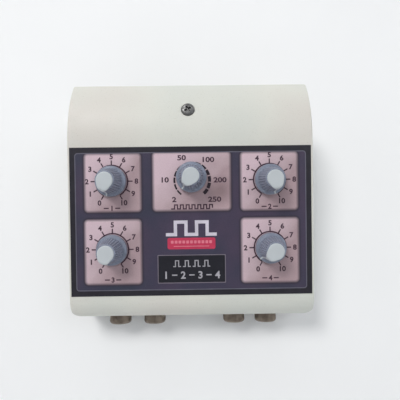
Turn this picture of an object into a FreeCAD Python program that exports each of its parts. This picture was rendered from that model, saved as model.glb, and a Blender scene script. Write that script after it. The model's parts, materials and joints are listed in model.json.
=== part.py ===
import FreeCAD, Part
import math
import os
import Sketcher

Vector = FreeCAD.Vector

# Driving dimensions, in millimetres and degrees. Each one can be changed by itself.
SIZES = {
    # case
    "case_width": 186,
    "case_depth": 180,
    "wall": 2.5,
    "foot_height": 4,
    "base_height": 22,
    "front_wall": 24,
    "lip_radius": 17,
    "slope": 12,
    "lower_margin": 3,
    "hump_reach": 48.5699,
    "hump_radius": 76,
    "front_corner": 7,
    "rear_corner": 3,
    "edge_round": 1.1,
    "base_round": 0.5,
    # printed label
    "label_width": 182.5,
    "label_depth": 112.6,
    "label_thickness": 0.6,
    "label_recess": 0.4,
    # controls, placed from the label's centre
    "dial_column": 59.6,
    "frequency_place": 0.6,
    "frequency_row": 33,
    "upper_row": 30.6,
    "lower_row": 20.9,
    "skirt_radius": 11.5,
    "skirt_height": 3.4,
    "knob_height": 18.4,
    "knob_lift": 1.6,
    "knob_hollow": 7.6,
    "knob_hollow_height": 3.6,
    "knob_foot_radius": 9.6,
    "knob_top_radius": 6.9,
    "flute_radius": 1.1,
    "cap_radius": 5.8,
    "cap_height": 1.4,
    "pointer_width": 3.2,
    "pointer_reach": 9.8,
    "shaft_radius": 3,
    "bush_radius": 3.6,
    "bush_length": 6.5,
    "nut_width": 10,
    "nut_height": 2,
    "washer_radius": 5.6,
    "washer_thickness": 0.6,
    "control_radius": 8.2,
    "control_depth": 10,
    "shaft_clearance": 0.05,
    # output sockets
    "outer_socket": 60,
    "inner_socket_left": 31.6,
    "inner_socket_right": 33.8,
    "socket_height": 16.3,
    "ferrule_radius": 8.75,
    "ferrule_length": 7.5,
    "ferrule_round": 2.4,
    "jack_bore": 3.25,
    "jack_bush": 5.6,
    "jack_length": 31,
    "jack_body": 15,
    # rear panel
    "rear_plate": 2,
    "rear_lap": 2.5,
    "rear_window_width": 150,
    "rear_window_low": 10,
    "rear_window_high": 50,
    "inlet_place": -46,
    "fuse_place": 15,
    "switch_place": 45,
    "rear_line": 30,
    "fuse_cap_reach": 7.5,
    # boards and transformers
    "board_width": 128,
    "board_depth": 78,
    "board_thickness": 1.6,
    "board_lift": 8,
    "screw_radius": 1.5,
    "board_shift": -14,
    "top_screw_place": -1.5,
    "top_screw_behind": 24.5,
    "top_screw_head": 5,
    "top_screw_length": 26,
    "top_pillar_height": 46,
    "pillar_radius": 4,
    "pillar_inset": 10,
    "foot_radius": 6.5,
    "foot_inset": 24,
}

# The case's front and rear walls. The model's origin is midway between its foremost and rearmost points.
SHIFT = "((dims.ferrule_length - dims.fuse_cap_reach) / 2)"
FRONT = f"(-dims.case_depth / 2 + {SHIFT})"
REAR = f"(dims.case_depth / 2 + {SHIFT})"
PARTING = "(dims.foot_height + dims.base_height)"
FLOOR = "(dims.foot_height + dims.wall)"
LIP_START = "(dims.foot_height + dims.front_wall)"
# Centre of the printed label, on the cover's sloped face.
MIDDLE = "(dims.lower_margin + dims.label_depth / 2)"
PANEL_Y = f"({FRONT} + dims.lip_radius * (1 - sin(dims.slope)) + {MIDDLE} * cos(dims.slope))"
PANEL_Z = f"({LIP_START} + dims.lip_radius * cos(dims.slope) + {MIDDLE} * sin(dims.slope))"
LABEL_TOP = "(dims.label_thickness - dims.label_recess)"
BOARD_TOP = f"({FLOOR} + dims.board_lift + dims.board_thickness)"

DEGREE = math.pi / 180
FLUTES = 16
ROCKER_TILT = -10
# The hump spans the rear of the case. The sloped face runs from the lip to the hump.
FACE_RUN = "((dims.case_depth - dims.lip_radius * (1 - sin(dims.slope)) - dims.hump_reach) / cos(dims.slope))"
BOARD_UNDER = f"({FLOOR} + dims.board_lift)"
BRACKET_UNDER = f"({FLOOR} + 6)"
HEAD_SEAT = f"({FLOOR} + 1)"
FOOT_SEAT = "2.4"
FOOT_POST_TOP = f"min({FLOOR} + 2; dims.socket_height - dims.jack_body / 2 - 0.2)"
HEADROOM = f"({PANEL_Z} + dims.case_depth / 2)"
# Centre of the hump's arc, and the upright screw that goes down through it.
FACE_END = f"({FACE_RUN} - {MIDDLE})"
HUMP_Y = f"({PANEL_Y} + {FACE_END} * cos(dims.slope) + dims.hump_radius * sin(dims.slope))"
HUMP_Z = f"({PANEL_Z} + {FACE_END} * sin(dims.slope) - dims.hump_radius * cos(dims.slope))"
SCREW_Y = f"({PANEL_Y} + ({FACE_END} + dims.top_screw_behind) * cos(dims.slope))"
SCREW_SEAT = f"({HUMP_Z} + sqrt(dims.hump_radius^2 - ({SCREW_Y} - {HUMP_Y})^2) - 0.7)"
TOP_PILLAR = f"({FLOOR} + dims.top_pillar_height)"
TRANSFORMER_X = "(dims.inlet_place + 1)"
TRANSFORMER_Y = f"({REAR} - 50)"

CHANNELS = {
    "ch1": ("-dims.dial_column", "dims.upper_row", 165),
    "ch2": ("dims.dial_column", "dims.upper_row", -163),
    "ch3": ("-dims.dial_column", "-dims.lower_row", 163),
    "ch4": ("dims.dial_column", "-dims.lower_row", 133),
    "frequency": ("dims.frequency_place", "dims.frequency_row", 141),
}
SOCKETS = ["-dims.outer_socket", "-dims.inner_socket_left", "dims.inner_socket_right", "dims.outer_socket"]


def corners_at(from_side, from_end):
    """The four places this far in from the case's sides and from its front and rear walls."""
    x = f"(dims.case_width / 2 - {from_side})"
    ends = (f"{FRONT} + {from_end}", f"{REAR} - {from_end}")
    return [(f"{side}{x}", y) for side in ("-", "") for y in ends]


PILLARS = corners_at("dims.pillar_inset", "(dims.pillar_inset + dims.wall)")
FEET = corners_at("dims.foot_inset", "dims.foot_inset")
BOARD_CORNERS = [
    (f"{side}(dims.board_width / 2 - 5)", f"dims.board_shift {end} (dims.board_depth / 2 - 5)")
    for side in ("-", "") for end in ("-", "+")
]
BRACKET_EARS = [(f"{TRANSFORMER_X} + {x}", TRANSFORMER_Y) for x in (-29, 29)]

# Bought-in rear fittings. A block is half width, half height, inner end and outer end from the plate's face.
INLET_FLANGE = (25, 11.3, 0, 2.5)
INLET_SHELL = (13.8, 10, -16, 0)
INLET_CAVITY = (12, 8.2, -14, 4)
INLET_PIN = (1, 2, -23, -1.5)
INLET_PIN_SLOT = (1, 2, -17, -13)
INLET_PINS = ((-7, 2), (7, 2), (0, -2))
INLET_SCREWS = (-20, 20)
FUSE_THREAD = 6.2
FUSE_BARREL = [
    (5.3, 2.5), (8, 2.5), (8, 0), (FUSE_THREAD, 0), (FUSE_THREAD, -33), (0, -33), (0, -30),
    (3.1, -30), (3.1, -8.5), (5.3, -8.5),
]
FUSE_NUT_WIDTH = 15
FUSE_NUT_HEIGHT = 3.5
FUSE_STEM = 5.2
FUSE_GRIP = 7.2
FUSE_GRIP_START = 2.7
FUSE_CAP_FOOT = -8
FUSE_LINK_RADIUS = 2.6
FUSE_LINK_END = -28
SWITCH_BEZEL = (7.5, 10.5, 0, 2)
SWITCH_BODY = (6.4, 9.4, -18, 0)
SWITCH_WELL = (5.4, 8.5, -8, 4)
SWITCH_TAG = (2.4, 0.4, -25, -17)
ROCKER_PIVOT = -1.4
ROCKER_SIDE = [(-7.3, 5.6), (0, 4.2), (7.3, 5.6), (5, -3.6), (-5, -3.6)]
ROCKER_WIDTH = 10.2
ROCKER_PIN = 1
ROCKER_PIN_HALF = 6.1
ROCKER_PIN_PLAY = 0.05
ROCKER_PIN_END_PLAY = 0.1

# Blocks on the board, as half width, half depth, top and underside above the board.
PULSE_CORE = (10, 5, 17, 0)
PULSE_WINDOW = (6.5, 6, 14, 3)
PULSE_LEG = (2.5, 5, 14.5, 2.5)
PULSE_COIL = (6.5, 8.5, 14, 3)
PULSE_COIL_HOLE = (2.5, 5, 15, 2)
CHIP = (9.5, 3.2, 4.2, 0)
TRANSISTOR = (5, 2.2, 13, 3)
TRANSISTOR_LEGS = (3.5, 0.4, 3.2, 0)
SINK_WALL = (14, 1, 24, 0)
SINK_FIN = (0.7, 3, 24, 0)
REGULATOR = (5, 2.2, 19, 4)
REGULATOR_LEGS = (3.5, 0.4, 4.2, 0)
TERMINALS = (9, 4, 9, 0)
# Where they stand, from the board's centre.
OUTPUT_COLUMNS = (-45, -15, 15, 45)
PULSE_ROW = -22
TRANSISTOR_ROW = -6.5
CHIP_COLUMNS = (-42, -14, 14)
CHIP_ROW = 2
SINK_PLACE = (48, 19)
SINK_FINS = (-13, -8, 0, 8, 13)
SINK_FIN_ROW = 22
REGULATOR_PLACE = (48, 15.8)
CAPACITOR_COLUMNS = (-2, 14)
CAPACITOR_ROW = 20
CAPACITOR_RADIUS = 6
CAPACITOR_HEIGHT = 21
TERMINAL_COLUMNS = (-50, -24)
TERMINAL_ROW = 23

# Blocks of the mains transformer, as half width, half depth, underside and top above its posts.
MAINS_CORE = (22, 8, 1.2, 37.2)
MAINS_WINDOW = (14.5, 9, 8.2, 30.2)
MAINS_LEG = (7, 8, 8, 31)
MAINS_COIL = (14.5, 14, 8.2, 30.2)
MAINS_COIL_HOLE = (7, 8, 7, 32)
STRAP = (23.2, 7, 0, 38.4)
STRAP_INSIDE = (22, 8.5, 1.2, 37.2)
EARS = (33, 7, 0, 1.2)
EARS_GAP = (22.5, 8, -1, 2)

doc = FreeCAD.newDocument("tens_unit")
sheet = doc.addObject("Spreadsheet::Sheet", "dims")
for row, (alias, number) in enumerate(SIZES.items(), 1):
    sheet.set(f"A{row}", alias)
    sheet.set(f"B{row}", str(number))
    sheet.setAlias(f"B{row}", alias)
doc.recompute()

nodes = []


def value(expression):
    """The number that an expression on the sheet gives."""
    result = sheet.evalExpression(str(expression))
    return float(getattr(result, "Value", result))


def bind(thing, **expressions):
    for name, expression in expressions.items():
        thing.setExpression(name.replace("__", "."), str(expression))
    return thing


def place(x="0", y="0", z="0", rotation="rotation(vector(0; 0; 1); 0)"):
    return f"placement(vector({x}; {y}; {z}); {rotation})"


def on_panel(u="0", v="0", w="0", turn=0):
    """A placement on the sloped panel: u to the right, v up the slope, w out of it, turned by turn."""
    y = f"{PANEL_Y} + ({v}) * cos(dims.slope) - ({w}) * sin(dims.slope)"
    z = f"{PANEL_Z} + ({v}) * sin(dims.slope) + ({w}) * cos(dims.slope)"
    return place(u, y, z, f"rotation(vector(1; 0; 0); dims.slope) * rotation(vector(0; 0; 1); {turn})")


# Turned pieces are drawn along +Z. These rotations lay them along the front and rear walls' normals.
FORWARD = "rotation(vector(1; 0; 0); 90)"
BACKWARD = "rotation(vector(1; 0; 0); -90)"
SIDEWAYS = "placement(vector(0; 0; 0); rotation(vector(0; 1; 0); 90))"
UPSIDE_DOWN = "rotation(vector(1; 0; 0); 180)"
SCREW_SPOT = place("dims.top_screw_place", SCREW_Y)


def keep(thing, label):
    """Makes the object a sub-part, with the label that names its file."""
    thing.Label = label
    nodes.append(thing)
    return thing


def box(x, y, z, placement=None):
    """A box from three (low, high) pairs of expressions."""
    low = [pair[0] for pair in (x, y, z)]
    spans = [f"({pair[1]}) - ({pair[0]})" for pair in (x, y, z)]
    thing = doc.addObject("Part::Box", "box")
    bind(thing, Length=spans[0], Width=spans[1], Height=spans[2])
    return bind(thing, Placement=f"{placement or place()} * {place(*low)}")


def rod(radius, low, high, placement=None):
    """A round bar along the local Z axis from low to high."""
    thing = doc.addObject("Part::Cylinder", "rod")
    bind(thing, Radius=radius, Height=f"({high}) - ({low})")
    return bind(thing, Placement=f"{placement or place()} * {place(z=low)}")


def rods_at(spots, radius, low, high):
    return [rod(radius, low, high, place(x, y)) for x, y in spots]


def hexagon(width, low, high, placement=None):
    thing = doc.addObject("Part::Prism", "hexagon")
    thing.Polygon = 6
    bind(thing, Circumradius=f"({width}) / 2 / cos(30)", Height=f"({high}) - ({low})")
    return bind(thing, Placement=f"{placement or place()} * {place(z=low)}")


def fuse(*shapes):
    if len(shapes) == 1:
        return shapes[0]
    thing = doc.addObject("Part::MultiFuse", "fuse")
    thing.Shapes = list(shapes)
    return thing


def cut(base, *tools):
    thing = doc.addObject("Part::Cut", "cut")
    thing.Base = base
    thing.Tool = fuse(*tools)
    return thing


def group(*shapes):
    """Several separate solids in one sub-part."""
    thing = doc.addObject("Part::Compound", "group")
    thing.Links = list(shapes)
    return thing


def sketch_on(body, role):
    sketch = body.newObject("Sketcher::SketchObject", "sketch")
    plane = next(item for item in body.Origin.OriginFeatures if item.Role == role)
    sketch.AttachmentSupport = [(plane, "")]
    sketch.MapMode = "FlatFace"
    return sketch


def pin_point(sketch, line, end, across, up):
    """Fixes one end of a line at a pair of expressions from the sketch's origin."""
    for kind, expression in (("DistanceX", across), ("DistanceY", up)):
        constraint = Sketcher.Constraint(kind, -1, 1, line, end, value(expression))
        index = sketch.addConstraint(constraint)
        sketch.setExpression(f"Constraints[{index}]", str(expression))


def outline(sketch, points):
    """Adds a closed polygon whose corners are pairs of expressions."""
    first = sketch.GeometryCount
    flat = [Vector(value(across), value(up), 0) for across, up in points]
    count = len(flat)
    for i in range(count):
        sketch.addGeometry(Part.LineSegment(flat[i], flat[(i + 1) % count]), False)
    for i in range(count):
        sketch.addConstraint(Sketcher.Constraint("Coincident", first + i, 2, first + (i + 1) % count, 1))
        pin_point(sketch, first + i, 1, *points[i])


def new_body():
    return doc.addObject("PartDesign::Body", "body")


def pad(body, sketch, length, centred=False):
    feature = body.newObject("PartDesign::Pad", "pad")
    feature.Profile = sketch
    feature.SideType = "Symmetric" if centred else "One side"
    return bind(feature, Length=length)


def turned(points):
    """A body turned about Z from an outline of (radius, height) expressions."""
    body = new_body()
    sketch = sketch_on(body, "XZ_Plane")
    outline(sketch, points)
    feature = body.newObject("PartDesign::Revolution", "turn")
    feature.Profile = sketch
    feature.ReferenceAxis = (sketch, ["V_Axis"])
    feature.Angle = 360
    doc.recompute()
    return body


def edges_where(feature, test):
    """Names of the feature's edges whose middle and direction pass the test."""
    names = []
    for number, edge in enumerate(feature.Shape.Edges, 1):
        middle = edge.valueAt((edge.FirstParameter + edge.LastParameter) / 2)
        along = edge.tangentAt((edge.FirstParameter + edge.LastParameter) / 2)
        if test(middle, along):
            names.append(f"Edge{number}")
    return names


def round_edges(body, radius, test):
    doc.recompute()
    base = body.Tip
    names = edges_where(base, test)
    feature = body.newObject("PartDesign::Fillet", "round")
    feature.Base = (base, names)
    bind(feature, Radius=radius)
    doc.recompute()
    return feature


# ---- case ----

def join_ends(sketch, joints):
    for kind, first, first_end, second, second_end in joints:
        sketch.addConstraint(Sketcher.Constraint(kind, first, first_end, second, second_end))


def measure(sketch, expression, kind, *where):
    """Adds a dimension that follows an expression on the sheet."""
    index = sketch.addConstraint(Sketcher.Constraint(kind, *where, value(expression)))
    sketch.setExpression(f"Constraints[{index}]", expression)


def arc(centre, radius, start, end):
    """An anticlockwise arc between two angles, in degrees."""
    circle = Part.Circle(centre, Vector(0, 0, 1), radius)
    return Part.ArcOfCircle(circle, start * DEGREE, end * DEGREE)


def case_profile(sketch, inset, low):
    """The cover's side profile: front wall, rolled lip, sloped face, hump and rear wall."""
    front = value(f"{FRONT} + {inset}")
    rear = value(f"{REAR} - {inset}")
    bottom = value(low)
    slope = value("dims.slope")
    lip = value(f"dims.lip_radius - {inset}")
    hump = value(f"dims.hump_radius - {inset}")
    along = Vector(value("cos(dims.slope)"), value("sin(dims.slope)"), 0)
    out = Vector(-along.y, along.x, 0)
    lip_centre = Vector(front + lip, value(LIP_START), 0)
    face_start = lip_centre + out * lip
    face_end = face_start + along * value(FACE_RUN)
    hump_centre = face_end - out * hump
    rear_angle = math.degrees(math.acos((rear - hump_centre.x) / hump))
    rear_top = hump_centre + Vector(rear - hump_centre.x, hump * math.sin(rear_angle * DEGREE), 0)
    front_low = Vector(front, bottom, 0)
    front_top = Vector(front, lip_centre.y, 0)
    rear_low = Vector(rear, bottom, 0)
    sketch.addGeometry(Part.LineSegment(front_low, front_top), False)
    sketch.addGeometry(arc(lip_centre, lip, 90 + slope, 180), False)
    sketch.addGeometry(Part.LineSegment(face_start, face_end), False)
    sketch.addGeometry(arc(hump_centre, hump, rear_angle, 90 + slope), False)
    sketch.addGeometry(Part.LineSegment(rear_top, rear_low), False)
    sketch.addGeometry(Part.LineSegment(rear_low, front_low), False)
    join_ends(sketch, [
        ("Tangent", 0, 2, 1, 2), ("Tangent", 1, 1, 2, 1), ("Tangent", 2, 2, 3, 2),
        ("Coincident", 3, 1, 4, 1), ("Coincident", 4, 2, 5, 1), ("Coincident", 5, 2, 0, 1),
    ])
    for line in (0, 4):
        sketch.addConstraint(Sketcher.Constraint("Vertical", line))
    sketch.addConstraint(Sketcher.Constraint("Horizontal", 5))
    measure(sketch, f"{FRONT} + {inset}", "DistanceX", -1, 1, 0, 1)
    measure(sketch, low, "DistanceY", -1, 1, 0, 1)
    measure(sketch, LIP_START, "DistanceY", -1, 1, 0, 2)
    measure(sketch, f"{REAR} - {inset}", "DistanceX", -1, 1, 4, 2)
    measure(sketch, f"dims.lip_radius - {inset}", "Radius", 1)
    measure(sketch, f"dims.hump_radius - {inset}", "Radius", 3)
    measure(sketch, FACE_RUN, "Distance", 2)
    index = sketch.addConstraint(Sketcher.Constraint("Angle", 2, slope * DEGREE))
    sketch.setExpression(f"Constraints[{index}]", "dims.slope * 1 deg")


def plan_round(corner, inset):
    """A plan corner's radius at an inset, never quite sharp."""
    return f"max({corner} - {inset}; 0.3)"


def case_plan(sketch, inset):
    """The case seen from above: a rectangle with rounded front and rear corners."""
    half = value(f"dims.case_width / 2 - {inset}")
    front = value(f"{FRONT} + {inset}")
    rear = value(f"{REAR} - {inset}")
    front_round = value(plan_round("dims.front_corner", inset))
    rear_round = value(plan_round("dims.rear_corner", inset))
    first = sketch.GeometryCount
    sides = [
        (Vector(-half + front_round, front, 0), Vector(half - front_round, front, 0)),
        (Vector(half, front + front_round, 0), Vector(half, rear - rear_round, 0)),
        (Vector(half - rear_round, rear, 0), Vector(-half + rear_round, rear, 0)),
        (Vector(-half, rear - rear_round, 0), Vector(-half, front + front_round, 0)),
    ]
    corners = [
        (Vector(half - front_round, front + front_round, 0), front_round, 270, "dims.front_corner"),
        (Vector(half - rear_round, rear - rear_round, 0), rear_round, 0, "dims.rear_corner"),
        (Vector(-half + rear_round, rear - rear_round, 0), rear_round, 90, "dims.rear_corner"),
        (Vector(-half + front_round, front + front_round, 0), front_round, 180, "dims.front_corner"),
    ]
    for start, end in sides:
        sketch.addGeometry(Part.LineSegment(start, end), False)
    for centre, radius, start, _ in corners:
        sketch.addGeometry(arc(centre, radius, start, start + 90), False)
    for i in range(4):
        corner = first + 4 + i
        join_ends(sketch, [
            ("Tangent", first + i, 2, corner, 1),
            ("Tangent", corner, 2, first + (i + 1) % 4, 1),
        ])
        kind = "Horizontal" if i % 2 == 0 else "Vertical"
        sketch.addConstraint(Sketcher.Constraint(kind, first + i))
        measure(sketch, plan_round(corners[i][3], inset), "Radius", corner)
    measure(sketch, f"{FRONT} + {inset}", "DistanceY", -1, 1, first, 1)
    measure(sketch, f"dims.case_width / 2 - {inset}", "DistanceX", -1, 1, first + 1, 1)
    measure(sketch, f"{REAR} - {inset}", "DistanceY", -1, 1, first + 2, 1)
    measure(sketch, f"-(dims.case_width / 2 - {inset})", "DistanceX", -1, 1, first + 3, 1)


def round_rim(body):
    """Rounds the edges where the cover's top meets its sides and its rear wall."""
    side = value("dims.case_width / 2") - 0.01
    rear = value(REAR) - 0.01
    low = value(PARTING)

    def on_rim(middle, along):
        side_edge = abs(middle.x) > side and middle.y < rear
        rear_edge = middle.y > rear and abs(middle.x) < 1
        return (side_edge or rear_edge) and middle.z > low + 0.1
    round_edges(body, "dims.edge_round", on_rim)


def cover_block(inset, low, rim=False):
    """The cover's outer or inner form: the side profile, with its corners rounded in plan."""
    body = new_body()
    profile = sketch_on(body, "YZ_Plane")
    case_profile(profile, inset, low)
    pad(body, profile, f"dims.case_width - 2 * ({inset})", centred=True)
    if rim:
        round_rim(body)
    trim = sketch_on(body, "XY_Plane")
    case_plan(trim, inset)
    reach = "dims.case_width"
    outline(trim, [(f"-{reach}", f"-{reach}"), (reach, f"-{reach}"), (reach, reach), (f"-{reach}", reach)])
    corners = body.newObject("PartDesign::Pocket", "corners")
    corners.Profile = trim
    corners.Type = "ThroughAll"
    corners.Reversed = True
    doc.recompute()
    return body


def top_cover():
    outer = cover_block("0", PARTING, rim=True)
    inner = cover_block("dims.wall", f"{PARTING} - dims.wall")
    bosses = rods_at(PILLARS, "dims.pillar_radius", PARTING, HEADROOM)
    bosses.append(rod("dims.pillar_radius + 1", TOP_PILLAR, HEADROOM, SCREW_SPOT))
    shell = cut(outer, cut(inner, *bosses))
    label_seat = box(
        ("-dims.label_width / 2", "dims.label_width / 2"),
        ("-dims.label_depth / 2", "dims.label_depth / 2"),
        ("-dims.label_recess", "5"), on_panel())
    bush_holes = [
        rod("dims.bush_radius", "-2 * dims.wall", "1", on_panel(u, v)) for u, v, _ in CHANNELS.values()
    ]
    pilots = rods_at(PILLARS, "dims.screw_radius", f"{PARTING} - 1", f"{PARTING} + 9")
    screw_hole = rod("dims.screw_radius + 0.3", f"{TOP_PILLAR} - 1", HEADROOM, SCREW_SPOT)
    screw_seat = rod("dims.top_screw_head + 0.4", SCREW_SEAT, HEADROOM, SCREW_SPOT)
    rear = rear_opening(PARTING, "dims.rear_window_high")
    keep(cut(shell, label_seat, *bush_holes, *pilots, screw_hole, screw_seat, rear), "top_cover")


def rear_opening(low, high):
    return box(("-dims.rear_window_width / 2", "dims.rear_window_width / 2"),
               (f"{REAR} - dims.wall - 0.5", f"{REAR} + 1"), (f"{low} - 1", high))


def base_tray():
    body = new_body()
    plan = sketch_on(body, "XY_Plane")
    bind(plan, AttachmentOffset__Base__z="dims.foot_height")
    case_plan(plan, "0")
    pad(body, plan, "dims.base_height")
    round_edges(body, "dims.base_round", lambda middle, along: abs(along.z) < 0.5)
    hollow_plan = sketch_on(body, "XY_Plane")
    bind(hollow_plan, AttachmentOffset__Base__z=FLOOR)
    case_plan(hollow_plan, "dims.wall")
    hollow = body.newObject("PartDesign::Pocket", "hollow")
    hollow.Profile = hollow_plan
    hollow.Reversed = True
    bind(hollow, Length="dims.base_height")
    doc.recompute()
    posts = rods_at(PILLARS, "dims.pillar_radius", "dims.foot_height", PARTING)
    posts.append(rod("dims.pillar_radius", "dims.foot_height", TOP_PILLAR, SCREW_SPOT))
    posts += rods_at(BOARD_CORNERS, "dims.pillar_radius - 0.6", "dims.foot_height", BOARD_UNDER)
    posts += rods_at(FEET, "dims.pillar_radius", "dims.foot_height", FOOT_POST_TOP)
    posts += rods_at(BRACKET_EARS, "dims.pillar_radius", "dims.foot_height", BRACKET_UNDER)
    solid = fuse(body, *posts)
    holes = rods_at(PILLARS, "dims.screw_radius + 0.3", "dims.foot_height - 1", f"{PARTING} + 1")
    holes += rods_at(PILLARS, "dims.screw_radius * 2 + 0.3", "dims.foot_height - 1", HEAD_SEAT)
    holes.append(rod("dims.screw_radius", f"{SCREW_SEAT} - dims.top_screw_length", HEADROOM, SCREW_SPOT))
    holes += rods_at(BOARD_CORNERS, "dims.screw_radius", f"{BOARD_UNDER} - 5", f"{BOARD_UNDER} + 1")
    holes += rods_at(FEET, "dims.screw_radius", "dims.foot_height - 1", f"{FLOOR} + 1.5")
    holes += rods_at(BRACKET_EARS, "dims.screw_radius", f"{BRACKET_UNDER} - 5", f"{BRACKET_UNDER} + 1")
    holes += [rod("dims.jack_bush", "-1", "dims.wall + 1", at_socket(x, "-dims.wall")) for x in SOCKETS]
    holes.append(rear_opening("dims.rear_window_low", f"{PARTING} + 1"))
    keep(cut(solid, *holes), "base_tray")


def screw(radius, head, head_height, length, placement):
    """A pan-head screw with a cross recess, its seat at the placement and its shank pointing down."""
    body = turned([
        ("0", f"-({length})"), (f"{radius} * 0.5", f"-({length})"), (radius, f"-({length}) + {radius}"),
        (radius, "0"), (head, "0"), (head, f"{head_height} * 0.45"),
        (f"{head} * 0.82", f"{head_height} * 0.85"), (f"{head} * 0.5", head_height), ("0", head_height),
    ])
    bar = (f"-{head} * 0.52", f"{head} * 0.52")
    web = (f"-{head} * 0.11", f"{head} * 0.11")
    depth = (f"{head_height} * 0.35", f"{head_height} + 1")
    solid = cut(body, box(bar, web, depth), box(web, bar, depth))
    return bind(solid, Placement=placement)


def screws_at(spots, head_height, length, z, rotation="rotation(vector(0; 0; 1); 0)"):
    """A group of screws with their seats at a height."""
    head = "dims.screw_radius * 2"
    return group(*[screw("dims.screw_radius", head, head_height, length, place(x, y, z, rotation))
                   for x, y in spots])


def fasteners():
    top = screw("dims.screw_radius", "dims.top_screw_head", "2.2", "dims.top_screw_length",
                f"{SCREW_SPOT} * {place(z=SCREW_SEAT)}")
    keep(top, "top_screw")
    keep(screws_at(PILLARS, "2", f"{PARTING} + 7 - {HEAD_SEAT}", HEAD_SEAT, UPSIDE_DOWN), "base_screws")
    keep(screws_at(FEET, "1.6", f"{FLOOR} + 1.5 - {FOOT_SEAT}", FOOT_SEAT, UPSIDE_DOWN), "foot_screws")
    keep(screws_at(BOARD_CORNERS, "1.8", "dims.board_thickness + 4", BOARD_TOP), "board_screws")


def rubber_feet():
    feet = []
    pads = rods_at(FEET, "dims.foot_radius", "0", "dims.foot_height")
    recesses = rods_at(FEET, "dims.screw_radius * 2 + 0.3", "-1", FOOT_SEAT)
    holes = rods_at(FEET, "dims.screw_radius", "-1", "dims.foot_height + 1")
    for foot, recess, hole in zip(pads, recesses, holes):
        feet.append(cut(foot, recess, hole))
    keep(group(*feet), "rubber_feet")


def label():
    plate = box(("-dims.label_width / 2", "dims.label_width / 2"),
                ("-dims.label_depth / 2", "dims.label_depth / 2"),
                ("0", "dims.label_thickness"))
    holes = [rod("dims.bush_radius", "-1", "2", place(u, v)) for u, v, _ in CHANNELS.values()]
    solid = cut(plate, *holes)
    keep(bind(solid, Placement=on_panel(w="-dims.label_recess")), "panel_label")


# ---- controls ----

KNOB = "dims.knob_height"
CAP_FOOT = f"{KNOB} - 0.6"
KNOB_LEAN = f"atan((dims.knob_foot_radius - dims.knob_top_radius) / ({KNOB} - dims.skirt_height))"


def knob_blank():
    """The knob's turned form: a skirt, a tapered grip and a hollow underside."""
    return turned([
        ("0", "dims.knob_hollow_height"), ("dims.knob_hollow", "dims.knob_hollow_height"),
        ("dims.knob_hollow", "0"), ("dims.skirt_radius", "0"),
        ("dims.skirt_radius", "dims.skirt_height * 0.75"), ("dims.skirt_radius * 0.93", "dims.skirt_height"),
        ("dims.knob_foot_radius", "dims.skirt_height"), ("dims.knob_top_radius", f"{KNOB} - 0.9"),
        ("dims.knob_top_radius - 0.9", KNOB), ("0", KNOB),
    ])


def knob_flutes():
    rods = []
    for i in range(FLUTES):
        spin = place(rotation=f"rotation(vector(0; 0; 1); {360 / FLUTES * (i + 0.5)})")
        lean = place("dims.knob_foot_radius + dims.flute_radius * 0.45", z="dims.skirt_height",
                     rotation=f"rotation(vector(0; 1; 0); -{KNOB_LEAN})")
        rods.append(rod("dims.flute_radius", "0", f"{KNOB} + 2", f"{spin} * {lean}"))
    return rods


def pointer_cap():
    """A disc on the knob's top, with a pointer that folds down over the grip."""
    pointer = new_body()
    side = sketch_on(pointer, "XZ_Plane")
    outline(side, [
        ("0", CAP_FOOT), ("0", f"{CAP_FOOT} + dims.cap_height"),
        ("dims.cap_radius * 0.9", f"{CAP_FOOT} + dims.cap_height"),
        ("dims.knob_top_radius + 0.7", f"{KNOB} - 1.6"), ("dims.pointer_reach", f"{KNOB} * 0.5"),
        ("dims.pointer_reach - 1.6", f"{KNOB} * 0.5"), ("dims.knob_top_radius - 1", f"{KNOB} - 1.6"),
        ("dims.knob_top_radius - 1", CAP_FOOT),
    ])
    pad(pointer, side, "dims.pointer_width", centred=True)
    disc = turned([
        ("0", CAP_FOOT), ("dims.cap_radius", CAP_FOOT),
        ("dims.cap_radius", f"{CAP_FOOT} + dims.cap_height * 0.6"),
        ("dims.cap_radius * 0.8", f"{CAP_FOOT} + dims.cap_height"),
        ("0", f"{CAP_FOOT} + dims.cap_height"),
    ])
    return disc, pointer


def knob(name, u, v, turn):
    """A fluted, skirted knob with a pale pointer cap, on its shaft."""
    spot = on_panel(u, v, "dims.knob_lift", turn)
    disc, pointer = pointer_cap()
    bore = rod("dims.shaft_radius", "0", f"{KNOB} - 4")
    grip = cut(knob_blank(), *knob_flutes(), fuse(disc, pointer), bore)
    keep(bind(grip, Placement=spot), f"knob_{name}")
    keep(bind(fuse(disc, pointer), Placement=spot), f"pointer_cap_{name}")
    sunk = "(dims.control_depth * 0.6 + dims.wall)"
    shaft = rod("dims.shaft_radius", "0", f"{sunk} + dims.knob_lift + {KNOB} - 4")
    seat = on_panel(u, v, f"-{sunk}", turn)
    keep(bind(shaft, Placement=seat), f"control_shaft_{name}")


def control(name, u, v):
    """A panel control: round can, threaded bush and three solder tags."""
    can = rod("dims.control_radius", "-dims.control_depth", "0")
    bush = rod("dims.bush_radius", "0", "dims.bush_length")
    tags = [box((f"{x} - 0.7", f"{x} + 0.7"), ("-dims.control_radius - 5", "-dims.control_radius + 2"),
                ("-4", "-3.4")) for x in (-4, 0, 4)]
    bore = rod("dims.shaft_radius + dims.shaft_clearance", "-dims.control_depth * 0.6 - 0.2",
               "dims.bush_length + 1")
    solid = cut(fuse(can, bush, *tags), bore)
    keep(bind(solid, Placement=on_panel(u, v, "-dims.wall")), f"control_body_{name}")


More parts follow.
